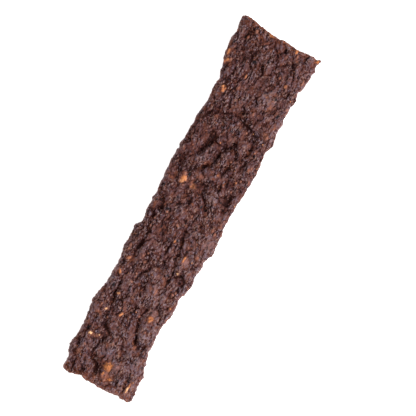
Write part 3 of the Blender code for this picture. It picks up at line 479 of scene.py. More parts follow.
def outputs_of(value):
    """A node's first usable output, or the socket or plain value itself."""
    if isinstance(value, bpy.types.Node):
        return next(socket for socket in value.outputs if socket.enabled)
    return value


def feed(tree, socket, value):
    """Gives an input a link or a plain value. None leaves it alone."""
    if isinstance(value, bpy.types.NodeSocket):
        tree.links.new(value, socket)
    elif value is not None:
        socket.default_value = value


def put(tree, kind, *values, **settings):
    """Adds a node, and gives its usable inputs, in order, a link or a value. None leaves one alone."""
    node = tree.nodes.new(kind)
    for name, setting in settings.items():
        setattr(node, name, setting)
    usable = [socket for socket in node.inputs if socket.enabled]
    for socket, value in zip(usable, map(outputs_of, values)):
        feed(tree, socket, value)
    return node


def calc(tree, operation, *values):
    """A number worked out from others."""
    return put(tree, "ShaderNodeMath", *values, operation=operation).outputs[0]


def vector(tree, operation, *values):
    """A vector, or a length or product, worked out from vectors."""
    return outputs_of(put(tree, "ShaderNodeVectorMath", *values, operation=operation))


def ease(tree, value, low, high, start=0.0, end=1.0):
    """A smooth ramp from start, at low, to end, at high."""
    ramp = put(tree, "ShaderNodeMapRange", value, low, high, start, end, interpolation_type="SMOOTHSTEP")
    return ramp.outputs[0]


def noise(tree, position, *settings):
    """A cloudy pattern about a half. The settings are scale, detail, roughness, and more."""
    return put(tree, "ShaderNodeTexNoise", position, *settings).outputs[0]


def product(tree, *values):
    """Numbers multiplied with each other."""
    total = values[0]
    for value in values[1:]:
        total = calc(tree, "MULTIPLY", total, value)
    return total


def summed(tree, total, *parts):
    """A total with more added to it: each part is a number and how much of it counts."""
    for value, share in parts:
        total = calc(tree, "MULTIPLY_ADD", value, share, total)
    return total


def from_half(tree, value):
    """How far a number is above a half."""
    return calc(tree, "SUBTRACT", value, 0.5)


def mix(tree, share, first, second):
    """A colour between two others."""
    node = tree.nodes.new("ShaderNodeMix")
    node.data_type = "RGBA"
    for name, value in (("Factor_Float", share), ("A_Color", first), ("B_Color", second)):
        feed(tree, next(s for s in node.inputs if s.identifier == name), value)
    return next(s for s in node.outputs if s.identifier == "Result_Color")


def new_tree(name, kind, inputs, outputs):
    """A node group with named inputs and outputs, and its two end nodes."""
    tree = bpy.data.node_groups.new(name, kind)
    for label, socket_type in inputs:
        tree.interface.new_socket(label, in_out="INPUT", socket_type=socket_type)
    for label, socket_type in outputs:
        tree.interface.new_socket(label, in_out="OUTPUT", socket_type=socket_type)
    return tree, tree.nodes.new("NodeGroupInput").outputs, tree.nodes.new("NodeGroupOutput").inputs


def set_inputs(modifier, **values):
    """Sets a Geometry Nodes modifier's inputs by name, through their identifiers."""
    for socket in modifier.node_group.interface.items_tree:
        key = socket.name.lower().replace(" ", "_")
        if socket.in_out == "INPUT" and key in values:
            modifier[socket.identifier] = values[key]


def number_inputs(names):
    """The number inputs of a node group, labelled as set_inputs looks for them."""
    return [(name.replace("_", " ").title(), "NodeSocketFloat") for name in names]


def in_scene(name, data):
    """A new object, put in the scene."""
    thing = bpy.data.objects.new(name, data)
    bpy.context.scene.collection.objects.link(thing)
    return thing


def as_piece(source, name):
    """A plain mesh object in the shape that its modifiers give the source, which is then removed."""
    evaluated = source.evaluated_get(bpy.context.evaluated_depsgraph_get())
    mesh = bpy.data.meshes.new_from_object(evaluated)
    bpy.data.objects.remove(source)
    mesh.name = name
    if not mesh.polygons:
        raise RuntimeError(f"{name} came out empty")
    mesh.shade_smooth()
    return in_scene(name, mesh)


def place(along, across):
    """A point of the drawn outline, in millimetres, in the frame of the solid, in metres."""
    return (Vector((along, across)) - OUTLINE_MIDDLE) * MM


def fold_lines():
    """All the folds as one curve object. A point's radius is the crease's depth, less at both ends."""
    curve = bpy.data.curves.new("fold_lines", "CURVE")
    curve.dimensions = "3D"
    curve.resolution_u = 8
    for depth, line in SOLID_FOLDS + SKIN_FOLDS:
        spline = curve.splines.new("BEZIER")
        spline.bezier_points.add(len(line) - 1)
        for point, (along, across) in zip(spline.bezier_points, line):
            point.co = place(along, across).to_3d()
            point.handle_left_type = point.handle_right_type = "AUTO"
            point.radius = depth * MM
        for end in (0, -1):
            spline.bezier_points[end].radius *= 0.35
    return in_scene("fold_lines", curve)


def marks(name, rows):
    """A mesh of loose points, one for each mark, which hold its half sizes, its turn and its tone."""
    mesh = bpy.data.meshes.new(name)
    mesh.from_pydata([place(row[0], row[1]).to_3d() for row in rows], [], [])
    columns = {
        "half_length": [row[2] / 2 * MM for row in rows],
        "half_width": [row[3] / 2 * MM for row in rows],
        "turn": [math.radians(row[4]) for row in rows],
        "tone": [row[5] if len(row) > 5 else 0.0 for row in rows],
    }
    for label, values in columns.items():
        mesh.attributes.new(label, "FLOAT", "POINT").data.foreach_set("value", values)
    return in_scene(name, mesh)


def held(tree, label, kind="FLOAT"):
    """What each point of the geometry holds under a name."""
    return put(tree, "GeometryNodeInputNamedAttribute", label, data_type=kind).outputs[0]


def sampled(tree, geometry, index, label):
    """The number that the point with that index holds under a name."""
    found = put(
        tree, "GeometryNodeSampleIndex", geometry, held(tree, label), index, data_type="FLOAT",
        domain="POINT")
    return found.outputs[0]


def nearest_point(tree, points, position):
    """The index of the point nearest to a place, and where it lies."""
    index = put(tree, "GeometryNodeSampleNearest", points, position, domain="POINT")
    here = put(tree, "GeometryNodeInputPosition")
    found = put(
        tree, "GeometryNodeSampleIndex", points, here, index, data_type="FLOAT_VECTOR", domain="POINT")
    return index, found


def stored(tree, geometry, label, value, kind="FLOAT"):
    """A geometry whose points hold a value under a name."""
    return put(
        tree, "GeometryNodeStoreNamedAttribute", geometry, None, label, value, data_type=kind,
        domain="POINT").outputs[0]


def blurred(tree, value, rounds, kind="FLOAT"):
    """A value averaged with its neighbours' that many times."""
    return outputs_of(put(tree, "GeometryNodeBlurAttribute", value, rounds, data_type=kind))


def flattened(tree, position):
    """A place dropped onto the floor."""
    return vector(tree, "MULTIPLY", position, (1.0, 1.0, 0.0))


def kept_above_floor(tree, position):
    """A place, or the one straight above it on the floor where it lies lower."""
    return vector(tree, "MAXIMUM", position, (-1.0, -1.0, 0.0))


def pillow_group():
    """Lumps packed side by side: 0 in the seams between them, up to 1 on the highest."""
    tree, given, result = new_tree(
        "mince_pillows", "GeometryNodeTree",
        [("Position", "NodeSocketVector"), ("Size", "NodeSocketFloat"), ("Stretch", "NodeSocketFloat"),
         ("Bend", "NodeSocketFloat"), ("Seed", "NodeSocketFloat")],
        [("Height", "NodeSocketFloat")])
    scaled = vector(tree, "SCALE", given["Position"], calc(tree, "DIVIDE", 1.0, given["Size"]))
    shifted = vector(tree, "ADD", scaled, given["Seed"])
    bend = put(tree, "ShaderNodeTexNoise", shifted, 0.9, 1.0).outputs["Color"]
    bend = vector(tree, "SCALE", vector(tree, "SUBTRACT", bend, (0.5, 0.5, 0.5)), given["Bend"])
    bent = vector(tree, "ADD", shifted, bend)
    squeezed = put(tree, "ShaderNodeCombineXYZ", calc(tree, "DIVIDE", 1.0, given["Stretch"]), 1.0, 1.0)
    cell = vector(tree, "MULTIPLY", bent, squeezed)
    edge = put(tree, "ShaderNodeTexVoronoi", cell, 1.0, feature="DISTANCE_TO_EDGE").outputs["Distance"]
    colour = put(tree, "ShaderNodeTexVoronoi", cell, 1.0, feature="F1").outputs["Color"]
    tall = ease(tree, put(tree, "ShaderNodeSeparateXYZ", colour), 0.0, 1.0, 0.35, 1.0)
    slope = calc(tree, "SUBTRACT", 1.0, put(tree, "ShaderNodeMapRange", edge, 0.0, 0.36, 0.0, 1.0))
    pillow = calc(tree, "SUBTRACT", 1.0, product(tree, slope, slope))
    tree.links.new(product(tree, pillow, tall), result["Height"])
    return tree


def pillows(tree, group, position, size, stretch, bend, seed):
    """One use of the lumps, at a size of its own."""
    node = put(tree, "GeometryNodeGroup", position, size, stretch, bend, seed, node_tree=group)
    return node.outputs["Height"]


def shingles(tree, position, size, step, tilt):
    """Flat pieces pressed over each other: each has a level of its own, and rises towards the far edge.

    Gives the height, and how far towards its far edge a place is, in widths of the piece.
    """
    flat = vector(tree, "MULTIPLY", position, LONGER_ALONG)
    cell = vector(tree, "SCALE", flat, calc(tree, "DIVIDE", 1.0, size))
    soft_rim = 0.12
    pieces = put(
        tree, "ShaderNodeTexVoronoi", cell, 1.0, None, None, None, soft_rim,
        feature="SMOOTH_F1").outputs
    level = calc(tree, "SUBTRACT", put(tree, "ShaderNodeSeparateXYZ", pieces["Color"]), 0.5)
    middle = vector(tree, "SUBTRACT", cell, pieces["Position"])
    towards = put(tree, "ShaderNodeSeparateXYZ", middle).outputs["Y"]
    rise = product(tree, towards, size)
    return summed(tree, product(tree, level, step), (rise, tilt)), towards


def strayed(tree, position, scale, reach):
    """A small shift to each side that wanders from place to place."""
    clouds = put(tree, "ShaderNodeTexNoise", position, scale, 1.0).outputs["Color"]
    return vector(tree, "SCALE", vector(tree, "SUBTRACT", clouds, (0.5, 0.5, 0.5)), reach)


def wandering(tree, position, *strays):
    """A place shifted to each side in waves of several sizes, each a scale and a reach."""
    moved = position
    for scale, reach in strays:
        moved = vector(tree, "ADD", moved, strayed(tree, position, scale, reach))
    return moved


def cracks(tree, position, size, width):
    """Thin lines that wind along the strip: 1 in their middle, 0 beside them, at any height."""
    long_way = vector(tree, "MULTIPLY", position, (0.45 / size, 1.0 / size, 0.0))
    long_way = vector(tree, "ADD", long_way, (7.0, 3.0, 1.0))
    clouds = noise(tree, long_way, 1.0, 2.0, 0.55, 2.1, 0.9)
    return ease(tree, calc(tree, "ABSOLUTE", from_half(tree, clouds)), 0.0, width, 1.0, 0.0)


def seams(tree, position, size, width):
    """Thin lines round lumps that lie side by side: 1 in their middle, 0 beside, at any height."""
    flat = flattened(tree, position)
    bent = wandering(tree, flat, (0.7 / size, 1.7 * size), (2.6 / size, 0.5 * size))
    cell = vector(tree, "MULTIPLY", bent, (0.6 / size, 1.0 / size, 0.0))
    edge = put(
        tree, "ShaderNodeTexVoronoi", cell, 1.0, voronoi_dimensions="2D",
        feature="DISTANCE_TO_EDGE").outputs["Distance"]
    come_and_go = noise(tree, vector(tree, "SCALE", flat, 0.9 / size), 1.0, 2.0)
    line = ease(tree, edge, 0.0, width, 1.0, 0.0)
    return product(tree, line, ease(tree, come_and_go, 0.4, 0.6, 0.1, 1.0))


def paint(tree, position, marked, raggedness):
    """How far a place is from the nearest mark, which ends at 1, and the mark's tone."""
    points = put(tree, "GeometryNodeObjectInfo", marked).outputs["Geometry"]
    flat = flattened(tree, wandering(tree, position, (800.0, raggedness), (330.0, raggedness)))
    index, centre = nearest_point(tree, points, flat)
    turn = product(tree, sampled(tree, points, index, "turn"), -1.0)
    local = put(
        tree, "ShaderNodeVectorRotate", vector(tree, "SUBTRACT", flat, centre), None, turn,
        rotation_type="Z_AXIS")
    half_length, half_width = (
        sampled(tree, points, index, label) for label in ("half_length", "half_width"))
    sizes = put(tree, "ShaderNodeCombineXYZ", half_length, half_width, 1.0)
    reach = vector(tree, "LENGTH", vector(tree, "DIVIDE", local, sizes))
    return reach, sampled(tree, points, index, "tone")


def mince_relief(tree, given, position, facing):
    """How far the mince stands up, where it is rough, and how near the rims of its pieces are."""
    # Plates of mince, pressed over each other, step up and down at their rims, and so do the flakes.
    bent = wandering(tree, position, (240.0, 5.0 * MM), (700.0, 1.6 * MM))
    plate, plate_rim = shingles(tree, bent, given["Plate Size"], given["Plate Height"], given["Tilt"])
    bent = wandering(tree, position, (600.0, 2.0 * MM), (1500.0, 0.5 * MM))
    flake, flake_rim = shingles(tree, bent, given["Flake Size"], given["Flake Height"], given["Tilt"])
    # How far towards its far edge a place lies on its plate and its flake; the material paints the meat
    # paler there, as painted light on each piece's slope.
    rim = summed(tree, product(tree, flake_rim, 0.6), (plate_rim, 0.4))

    # Lumps, wrinkles and grains, each smaller than the last. Wrinkles are strong only here and there.
    group = pillow_group()
    lump = pillows(tree, group, position, given["Lump Size"], 1.5, 1.1, given["Seed"])
    wrinkle = pillows(tree, group, position, given["Wrinkle Size"], 1.4, 1.6, given["Seed"])
    grains = pillows(tree, group, position, given["Grain Size"], 1.3, 0.9, given["Seed"])
    here_and_there = noise(tree, position, 95.0, 2.0)
    wrinkle = product(tree, wrinkle, ease(tree, here_and_there, 0.4, 0.62, 0.5, 1.5))
    long_way = vector(tree, "MULTIPLY", position, (170.0, 330.0, 330.0))
    ripple = calc(tree, "ABSOLUTE", from_half(tree, noise(tree, long_way, 1.0, 3.0, 0.6, 2.1, 0.7)))

    # What is finer than a wrinkle is strong only where the mince is rough.
    rough = noise(tree, vector(tree, "ADD", position, (0.1, 0.3, 0.2)), 260.0, 2.0)
    rough = ease(tree, rough, 0.4, 0.6)
    fine = summed(tree, flake, (grains, given["Grain Height"]), (ripple, 0.5 * MM))
    relief = calc(tree, "ADD", plate, product(tree, lump, given["Lump Height"]))
    relief = summed(
        tree, relief, (wrinkle, given["Wrinkle Height"]), (fine, summed(tree, 0.42, (rough, 1.0))))
    tallest = calc(tree, "ADD", given["Wrinkle Height"], given["Grain Height"])
    tallest = calc(tree, "ADD", given["Lump Height"], tallest)
    relief = summed(tree, relief, (tallest, -0.7))
    level = ease(tree, calc(tree, "ABSOLUTE", facing["Z"]), 0.3, 0.75, 0.25, 1.0)
    return product(tree, relief, level), rough, rim


def torn_walls(tree, given, position, facing, near_end):
    """Where the walls and the two cut ends are, and how far crumbs stand out of them, most at -X."""
    along, _, height = put(tree, "ShaderNodeSeparateXYZ", position).outputs
    wall = ease(tree, calc(tree, "ABSOLUTE", facing["Z"]), 0.85, 0.4)
    below = ease(tree, height, 4.4 * MM, 3.4 * MM)
    wall = product(tree, wall, calc(tree, "MAXIMUM", near_end, below))
    torn = from_half(tree, noise(tree, position, 560.0, 2.0, 0.6))
    torn = product(
        tree, torn, given["Torn Height"], ease(tree, along, -15.0 * MM, 10.0 * MM, 1.0, 0.6))
    return wall, calc(tree, "ADD", torn, given["Swell"])


def creases(tree, given, position):
    """How deep the nearest fold line cuts, which comes and goes along it."""
    lines = put(tree, "GeometryNodeObjectInfo", given["Fold Lines"]).outputs["Geometry"]
    points = put(tree, "GeometryNodeCurveToPoints", lines, FOLD_STEP, mode="LENGTH").outputs["Points"]
    flat = flattened(tree, wandering(tree, position, (330.0, 1.1 * MM), (1300.0, 0.6 * MM)))
    index, nearest = nearest_point(tree, points, flat)
    come_and_go = ease(tree, noise(tree, position, 260.0, 1.0), 0.35, 0.55, 0.7, 1.3)
    depth = product(tree, sampled(tree, points, index, "radius"), come_and_go)
    away = calc(tree, "DIVIDE", vector(tree, "DISTANCE", flat, nearest), given["Fold Width"])
    return product(tree, calc(tree, "EXPONENT", product(tree, away, -1.0)), depth)


def ridge(tree, position, normal, rounds):
    """How far a place stands above the average of those about it, in millimetres."""
    rise = vector(tree, "SUBTRACT", position, blurred(tree, position, rounds, "FLOAT_VECTOR"))
    return calc(tree, "DIVIDE", vector(tree, "DOT_PRODUCT", rise, normal), MM)


def painted_notes(tree, given, position, height):
    """Where the upper skin is stained by fat, by the chips and by blood."""
    stain_reach, stain_tone = paint(tree, position, given["Stains"], 2.2 * MM)
    chip_reach, _ = paint(tree, position, given["Chips"], 1.0 * MM)
    speck_reach, _ = paint(tree, position, given["Specks"], 1.2 * MM)
    upper = ease(tree, height, 1.0 * MM, 2.5 * MM)
    rust_outside = ease(tree, stain_reach, 0.3, 1.1, 0.0, RUST)
    return {
        "stain": product(tree, ease(tree, stain_reach, 1.4, 0.1), upper),
        "stain_tone": calc(tree, "MAXIMUM", stain_tone, rust_outside),
        "halo": product(tree, ease(tree, chip_reach, 2.2, 0.9), upper),
        "speck": product(tree, ease(tree, speck_reach, 1.3, 0.6), upper),
    }


def skin_tree():
    """Raises lumps, wrinkles and grains out of the strip, cuts its folds, and notes where each is."""
    tree, given, result = new_tree(
        "jerky_skin", "GeometryNodeTree",
        [("Geometry", "NodeSocketGeometry"), ("Fold Lines", "NodeSocketObject"),
         ("Chips", "NodeSocketObject"), ("Stains", "NodeSocketObject"), ("Mounds", "NodeSocketObject"),
         ("Specks", "NodeSocketObject"), *number_inputs(SKIN_NUMBERS),
         ("Material", "NodeSocketMaterial")],
        [("Geometry", "NodeSocketGeometry")])
    position = outputs_of(put(tree, "GeometryNodeInputPosition"))
    along, _, height = put(tree, "ShaderNodeSeparateXYZ", position).outputs
    normal = outputs_of(put(tree, "GeometryNodeInputNormal"))
    facing = put(tree, "ShaderNodeSeparateXYZ", normal).outputs
    up = ease(tree, facing["Z"], 0.1, 0.7)
    down = ease(tree, facing["Z"], -0.1, -0.7)
    relief, rough, rim = mince_relief(tree, given, position, facing)

    # Broad mounds and hollows.
    mound_reach, mound = paint(tree, position, given["Mounds"], 2.2 * MM)
    mound = product(tree, mound, ease(tree, mound_reach, 1.3, 0.6), up)
    mound = blurred(tree, mound, MOUND_ROUNDS)
    relief = summed(tree, relief, (mound, given["Mound Height"]))

    # Thin cracks wind along the strip, and come and go.
    open_here = noise(tree, vector(tree, "ADD", position, (0.5, 0.5, 0.5)), 150.0, 2.0)
    open_here = product(tree, ease(tree, open_here, 0.4, 0.58), up)
    crack = product(tree, cracks(tree, position, CRACK_SPACING, 0.06), open_here)
    seam = product(tree, seams(tree, position, SEAM_SPACING, 0.13), up)
    crack = product(tree, calc(tree, "MAXIMUM", crack, seam), given["Crack Depth"])

    # The strip's walls and its two cut ends are torn, with crumbs standing out of them.
    end = CAD_BOX[1].x
    near_end = ease(tree, calc(tree, "ABSOLUTE", along), end - 5.0 * MM, end - 3.0 * MM)
    wall, torn = torn_walls(tree, given, position, facing, near_end)
    relief = summed(tree, relief, (torn, wall))

    # Under a chip the skin is level.
    chip_reach, _ = paint(tree, position, given["Chips"], 0.0)
    bare = ease(tree, chip_reach, 0.9, 1.9)
    relief = product(tree, relief, ease(tree, bare, 0.0, 1.0, 0.25, 1.0))

    # Here and there the solid's folds are filled again, so that they come and go.
    hollow = product(tree, ridge(tree, position, normal, FAR_ROUNDS), -MM)
    hollow = product(tree, calc(tree, "MAXIMUM", hollow, 0.0), up)
    filled = ease(tree, noise(tree, position, 110.0, 2.0), 0.35, 0.6, 0.6, 1.0)
    filled = calc(tree, "MAXIMUM", filled, summed(tree, 1.2, (bare, -1.2)))
    relief = summed(tree, relief, (hollow, filled))

    # The underside dried against its tray, so its relief is low, and it stays off the floor.
    crease = product(tree, creases(tree, given, position), up, bare)
    share = calc(tree, "SUBTRACT", 1.0, product(tree, down, 0.6))
    clear = ease(tree, height, 0.0, 0.5 * MM)
    relief = product(tree, relief, product(tree, share, clear))
    relief = calc(tree, "SUBTRACT", relief, calc(tree, "ADD", crease, product(tree, crack, bare)))
    target = vector(tree, "ADD", position, vector(tree, "SCALE", normal, relief))
    target = kept_above_floor(tree, target)
    geometry = outputs_of(put(tree, "GeometryNodeSetPosition", given["Geometry"], None, target))

    # What the material reads: hollows and ridges, fat and blood near the surface, and the cut ends.
    faces_out = ease(tree, calc(tree, "ABSOLUTE", facing["X"]), 0.25, 0.6)
    notes = {
        # The crease, mound, leaning, rim, wall and ridge notes carry the material's painted light and
        # shade.
        "crease": calc(tree, "DIVIDE", crease, MM),
        "cracked": product(tree, open_here, bare),
        "topside": product(tree, up, bare),
        "cut_end": product(tree, faces_out, near_end),
        "mound": mound, "leaning": facing["Y"], "rough": rough, "rim": rim, "wall": wall,
        "fine_ridge": ridge(tree, position, normal, NEAR_ROUNDS),
        "broad_ridge": ridge(tree, position, normal, FAR_ROUNDS),
        **painted_notes(tree, given, position, height),
    }
    for label, value in notes.items():
        geometry = stored(tree, geometry, label, value)
    whole = put(tree, "GeometryNodeRealizeInstances", geometry)
    dressed = put(tree, "GeometryNodeSetMaterial", whole, None, given["Material"])
    tree.links.new(outputs_of(dressed), result["Geometry"])
    return tree


def grain_group():
    """The finest grain of dried meat and fat: a height for the bump, a patchy shade, and mixed cells."""
    tree, given, result = new_tree(
        "dried_grain", "ShaderNodeTree",
        [("Coarseness", "NodeSocketFloat")],
        [("Height", "NodeSocketFloat"), ("Shade", "NodeSocketFloat"), ("Cell", "NodeSocketFloat")])
    at = put(tree, "ShaderNodeTexCoord").outputs["Object"]
    at = vector(tree, "SCALE", at, calc(tree, "DIVIDE", 1.0, given["Coarseness"]))
    streaked = vector(tree, "MULTIPLY", at, LONGER_ALONG)
    cells = put(tree, "ShaderNodeTexVoronoi", streaked, 1.0, feature="F1").outputs
    fibres = noise(tree, vector(tree, "MULTIPLY", at, (0.4, 1.3, 1.3)), 1.0, 3.0, 0.6)
    tree.links.new(summed(tree, fibres, (cells["Distance"], -0.8)), result["Height"])
    tree.links.new(noise(tree, streaked, 0.9, 1.0, 0.5), result["Shade"])
    tree.links.new(put(tree, "ShaderNodeSeparateXYZ", cells["Color"]).outputs[0], result["Cell"])
    return tree


def grain(tree, coarseness):
    """One use of the grain: its height, its shade and its cells."""
    group = bpy.data.node_groups.get("dried_grain") or grain_group()
    node = put(tree, "ShaderNodeGroup", coarseness, node_tree=group)
    return node.outputs["Height"], node.outputs["Shade"], node.outputs["Cell"]


def attribute(tree, name):
    """A number that the mesh holds for each place."""
    return put(tree, "ShaderNodeAttribute", attribute_name=name).outputs["Fac"]


def tone_colour(tree, tone, flecks):
    """A fleck's colour: cream, amber, buff, rust or pink."""
    colour = mix(tree, ease(tree, tone, CREAM, AMBER), flecks.cream[:], flecks.amber[:])
    colour = mix(tree, ease(tree, tone, AMBER, BUFF), colour, flecks.buff[:])
    colour = mix(tree, ease(tree, tone, BUFF, RUST), colour, flecks.rust[:])
    return mix(tree, ease(tree, tone, RUST, PINK), colour, flecks.pink[:])


def tinted(tree, colour, strength):
    """A colour made lighter or darker from place to place, by the meat's lightness, which holds painted
    light and shade.
    """
    return vector(tree, "SCALE", colour[:3], ease(tree, strength, -0.1, 1.2, 0.25, 1.6))


def hue_shifted(tree, colour, lightness, position):
    """A colour made browner or bluer from place to place, most of all where it is dark, and bluer on
    ridges and redder in hollows, as painted sheen and painted shade.
    """
    drift = from_half(tree, noise(tree, position, 560.0, 3.0, 0.9))
    drift = product(tree, drift, ease(tree, lightness, 0.1, 1.0, 11.0, 6.5))
    drift = summed(tree, drift, (attribute(tree, "fine_ridge"), -2.0))
    red = summed(tree, 1.0, (drift, 0.17))
    blue = summed(tree, 1.0, (drift, -0.26))
    return vector(tree, "MULTIPLY", colour, put(tree, "ShaderNodeCombineXYZ", red, 1.0, blue))


def new_material(name):
    """A material with its shader and nothing else."""
    material = bpy.data.materials.new(name)
    material.use_nodes = True
    return material, material.node_tree, material.node_tree.nodes["Principled BSDF"].inputs


def bumped(tree, shader, height, reach):
    """Roughens a material's surface by a height, which stands that far out where it is 1."""
    bump = put(tree, "ShaderNodeBump", 1.0, reach)
    tree.links.new(height, bump.inputs["Height"])
    tree.links.new(outputs_of(bump), shader["Normal"])


def meat_grains(tree, position, shade, cell):
    """The finest pale and dark grains, a few with painted glints, and hairlines of painted shade between
    them.
    """
    grains = product(tree, from_half(tree, shade), 2.4)
    grains = summed(tree, grains, (from_half(tree, cell), 0.8))
    # Painted glints: a few cells are made much paler.
    grains = calc(tree, "ADD", ease(tree, cell, 0.89, 0.96), grains)
    # Painted shade along the hairlines.
    hairline = seams(tree, position, HAIRLINE_SPACING, 0.12)
    return summed(tree, grains, (product(tree, hairline, attribute(tree, "topside")), -0.32))


def meat_lightness(tree, position, shade, cell):
    """How light the meat is: below 0 deep in its folds, and past 1 on its highest ridges. Most of it is
    painted light and shade.
    """
    fine_ridge = attribute(tree, "fine_ridge")
    hollows = calc(tree, "MINIMUM", calc(tree, "ADD", fine_ridge, 0.03), 0.0)
    patches = from_half(tree, noise(tree, position, 130.0, 3.0, 0.6))
    crack = product(
        tree, cracks(tree, position, CRACK_SPACING, 0.04), attribute(tree, "cracked"))
    seam = product(tree, seams(tree, position, SEAM_SPACING, 0.1), attribute(tree, "topside"))
    # Painted shade and painted highlight: darker in hollows, creases, cracks, seams and the marked
    # hollows, paler on ridges and the marked mounds. The patches are the meat's own tone.
    lightness = summed(
        tree, 0.775, (fine_ridge, 0.9), (hollows, 2.8), (attribute(tree, "broad_ridge"), 0.3),
        (patches, 0.6), (attribute(tree, "crease"), -1.6), (attribute(tree, "mound"), 0.32),
        (crack, -0.3), (seam, -0.5))
    grains = meat_grains(tree, position, shade, cell)
    # The grains are the meat's own tone, with painted glints. Painted light: each plate and flake is paler
    # towards its far edge, the walls are paler, and faces turned to +Y are painted lighter and faces
    # turned to -Y darker. The cut ends are made darker.
    lightness = summed(
        tree, lightness, (grains, summed(tree, 0.3, (attribute(tree, "rough"), 1.05))),
        (attribute(tree, "rim"), 0.36), (attribute(tree, "wall"), 0.4),
        (attribute(tree, "leaning"), 0.22), (attribute(tree, "cut_end"), -0.45))

    # The -X end and the -Y edge are painted a little paler, as painted light, and a stretch about 20 mm
    # along +X is made darker.
    along, across, _ = put(tree, "ShaderNodeSeparateXYZ", position).outputs
    lightness = summed(tree, lightness, (along, -1.0), (across, -7.0))
    from_middle = calc(tree, "ABSOLUTE", calc(tree, "SUBTRACT", along, 20.0 * MM))
    return calc(tree, "ADD", ease(tree, from_middle, 35.0 * MM, 5.0 * MM, 0.0, -0.13), lightness)


def meat_stains(tree, colour, position, shade, flecks):
    """Warm stains: marked ones, a halo round each chip, faint ones of their own, and the cut ends."""
    stain = product(tree, attribute(tree, "stain"), ease(tree, shade, 0.3, 0.55, 0.65, 1.0))
    colour = mix(tree, stain, colour, tone_colour(tree, attribute(tree, "stain_tone"), flecks))
    colour = mix(tree, product(tree, attribute(tree, "halo"), 0.4), colour, flecks.rust[:])
    warm = noise(tree, vector(tree, "MULTIPLY", position, LONGER_ALONG), 560.0, 2.0, 0.5)
    warm = product(tree, ease(tree, warm, 0.58, 0.74), 0.55)
    colour = mix(tree, warm, colour, flecks.rust[:])
    end = product(tree, attribute(tree, "cut_end"), ease(tree, shade, 0.35, 0.6, 0.2, 0.85))
    side = product(tree, attribute(tree, "wall"), ease(tree, shade, 0.5, 0.7, 0.0, 0.5))
    return mix(tree, calc(tree, "MAXIMUM", end, side), colour, flecks.rim[:])


def meat_material(meat, flecks):
    """Dark lean meat with a painted sheen on its ridges and painted shade in its hollows, stained where
    fat lies under it.
    """
    material, tree, shader = new_material(MEAT_SLOT)
    at = put(tree, "ShaderNodeTexCoord").outputs["Object"]
    height, shade, cell = grain(tree, MEAT_GRAIN)
    lightness = meat_lightness(tree, at, shade, cell)
    # Painted shade and highlight: the lightness picks the hollow shade, lean, ridge sheen and highlight
    # colours in turn.
    dark = mix(tree, ease(tree, lightness, -0.15, 0.5), meat.hollow_shade_colour[:], meat.lean_colour[:])
    colour = mix(tree, ease(tree, lightness, 0.4, 1.2), dark, meat.ridge_sheen_colour[:])
    colour = mix(tree, ease(tree, lightness, 1.0, 1.7), colour, meat.highlight_colour[:])
    brown = noise(tree, vector(tree, "ADD", at, (0.3, 0.2, 0.1)), 300.0, 3.0, 0.6)
    brown = product(tree, ease(tree, brown, 0.45, 0.65), 0.22)
    colour = mix(tree, brown, colour, tinted(tree, meat.brown_colour[:], lightness))
    colour = hue_shifted(tree, colour, lightness, at)
    colour = meat_stains(tree, colour, at, shade, flecks)
    blood = product(tree, ease(tree, noise(tree, at, 800.0, 1.0), 0.66, 0.74), 0.8)
    blood = calc(tree, "MAXIMUM", attribute(tree, "speck"), blood)
    tree.links.new(mix(tree, blood, colour, meat.speck_colour[:]), shader["Base Color"])
    tree.links.new(ease(tree, shade, 0.35, 0.65, 0.7, 0.38), shader["Roughness"])
    height = product(tree, height, summed(tree, 0.3, (attribute(tree, "rough"), 1.2)))
    bumped(tree, shader, height, MEAT_BUMP)
    shader["Specular IOR Level"].default_value = 0.12
    shader["Specular Tint"].default_value = (1.0, 0.86, 0.84, 1.0)
    return material


def fleck_material(flecks):
    """Dried fat and gristle: paler at its middle, waxy and a little uneven."""
    material, tree, shader = new_material(FLECK_SLOT)
    height, shade, _ = grain(tree, FAT_GRAIN)
    colour = tone_colour(tree, attribute(tree, "tone"), flecks)
    edge = product(tree, ease(tree, attribute(tree, "core"), 0.75, 0.2), 0.65)
    patchy = ease(tree, shade, 0.45, 0.7, 0.0, 0.5)
    for share in (edge, patchy):
        colour = mix(tree, share, colour, flecks.rust[:])
    tree.links.new(colour, shader["Base Color"])
    tree.links.new(ease(tree, shade, 0.3, 0.7, 0.35, 0.55), shader["Roughness"])
    bumped(tree, shader, height, FAT_BUMP)
    shader["Specular IOR Level"].default_value = 0.25
    return material


class JERKY_OT_meat(bpy.types.Operator):
    """Makes the strip of dried meat"""

    bl_idname = "jerky.meat"
    bl_label = "Dried Meat"

    def execute(self, context):
        meat = context.scene.jerky_meat
        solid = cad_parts[STRIP_NODE]
        source = in_scene("skin_source", solid.data.copy())
        source.data.materials.clear()
        merge = source.modifiers.new("merged", "WELD")
        merge.merge_threshold = 0.001 * MM
        remesh = source.modifiers.new("skin", "REMESH")
        remesh.mode = "VOXEL"
        remesh.voxel_size = meat.voxel
        soften = source.modifiers.new("softened", "SMOOTH")
        soften.iterations = SOFTEN_ROUNDS
        helpers = {"fold_lines": fold_lines()}
        for name, rows in (("chips", CHIPS), ("stains", STAINS), ("specks", SPECKS), ("mounds", MOUNDS)):
            helpers[name] = marks(name, rows)
        relief = source.modifiers.new("relief", "NODES")
        relief.node_group = skin_tree()
        numbers = {name: float(getattr(meat, name)) for name in SKIN_NUMBERS}
        material = meat_material(meat, context.scene.jerky_flecks)
        set_inputs(relief, **helpers, **numbers, material=material)
        thin = source.modifiers.new("thinned", "DECIMATE")
        thin.ratio = meat.kept_share
        piece = as_piece(source, MEAT_PIECE)
        for helper in helpers.values():
            bpy.data.objects.remove(helper)
        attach(piece, BODY)
        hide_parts(STRIP_NODE)
        return {"FINISHED"}


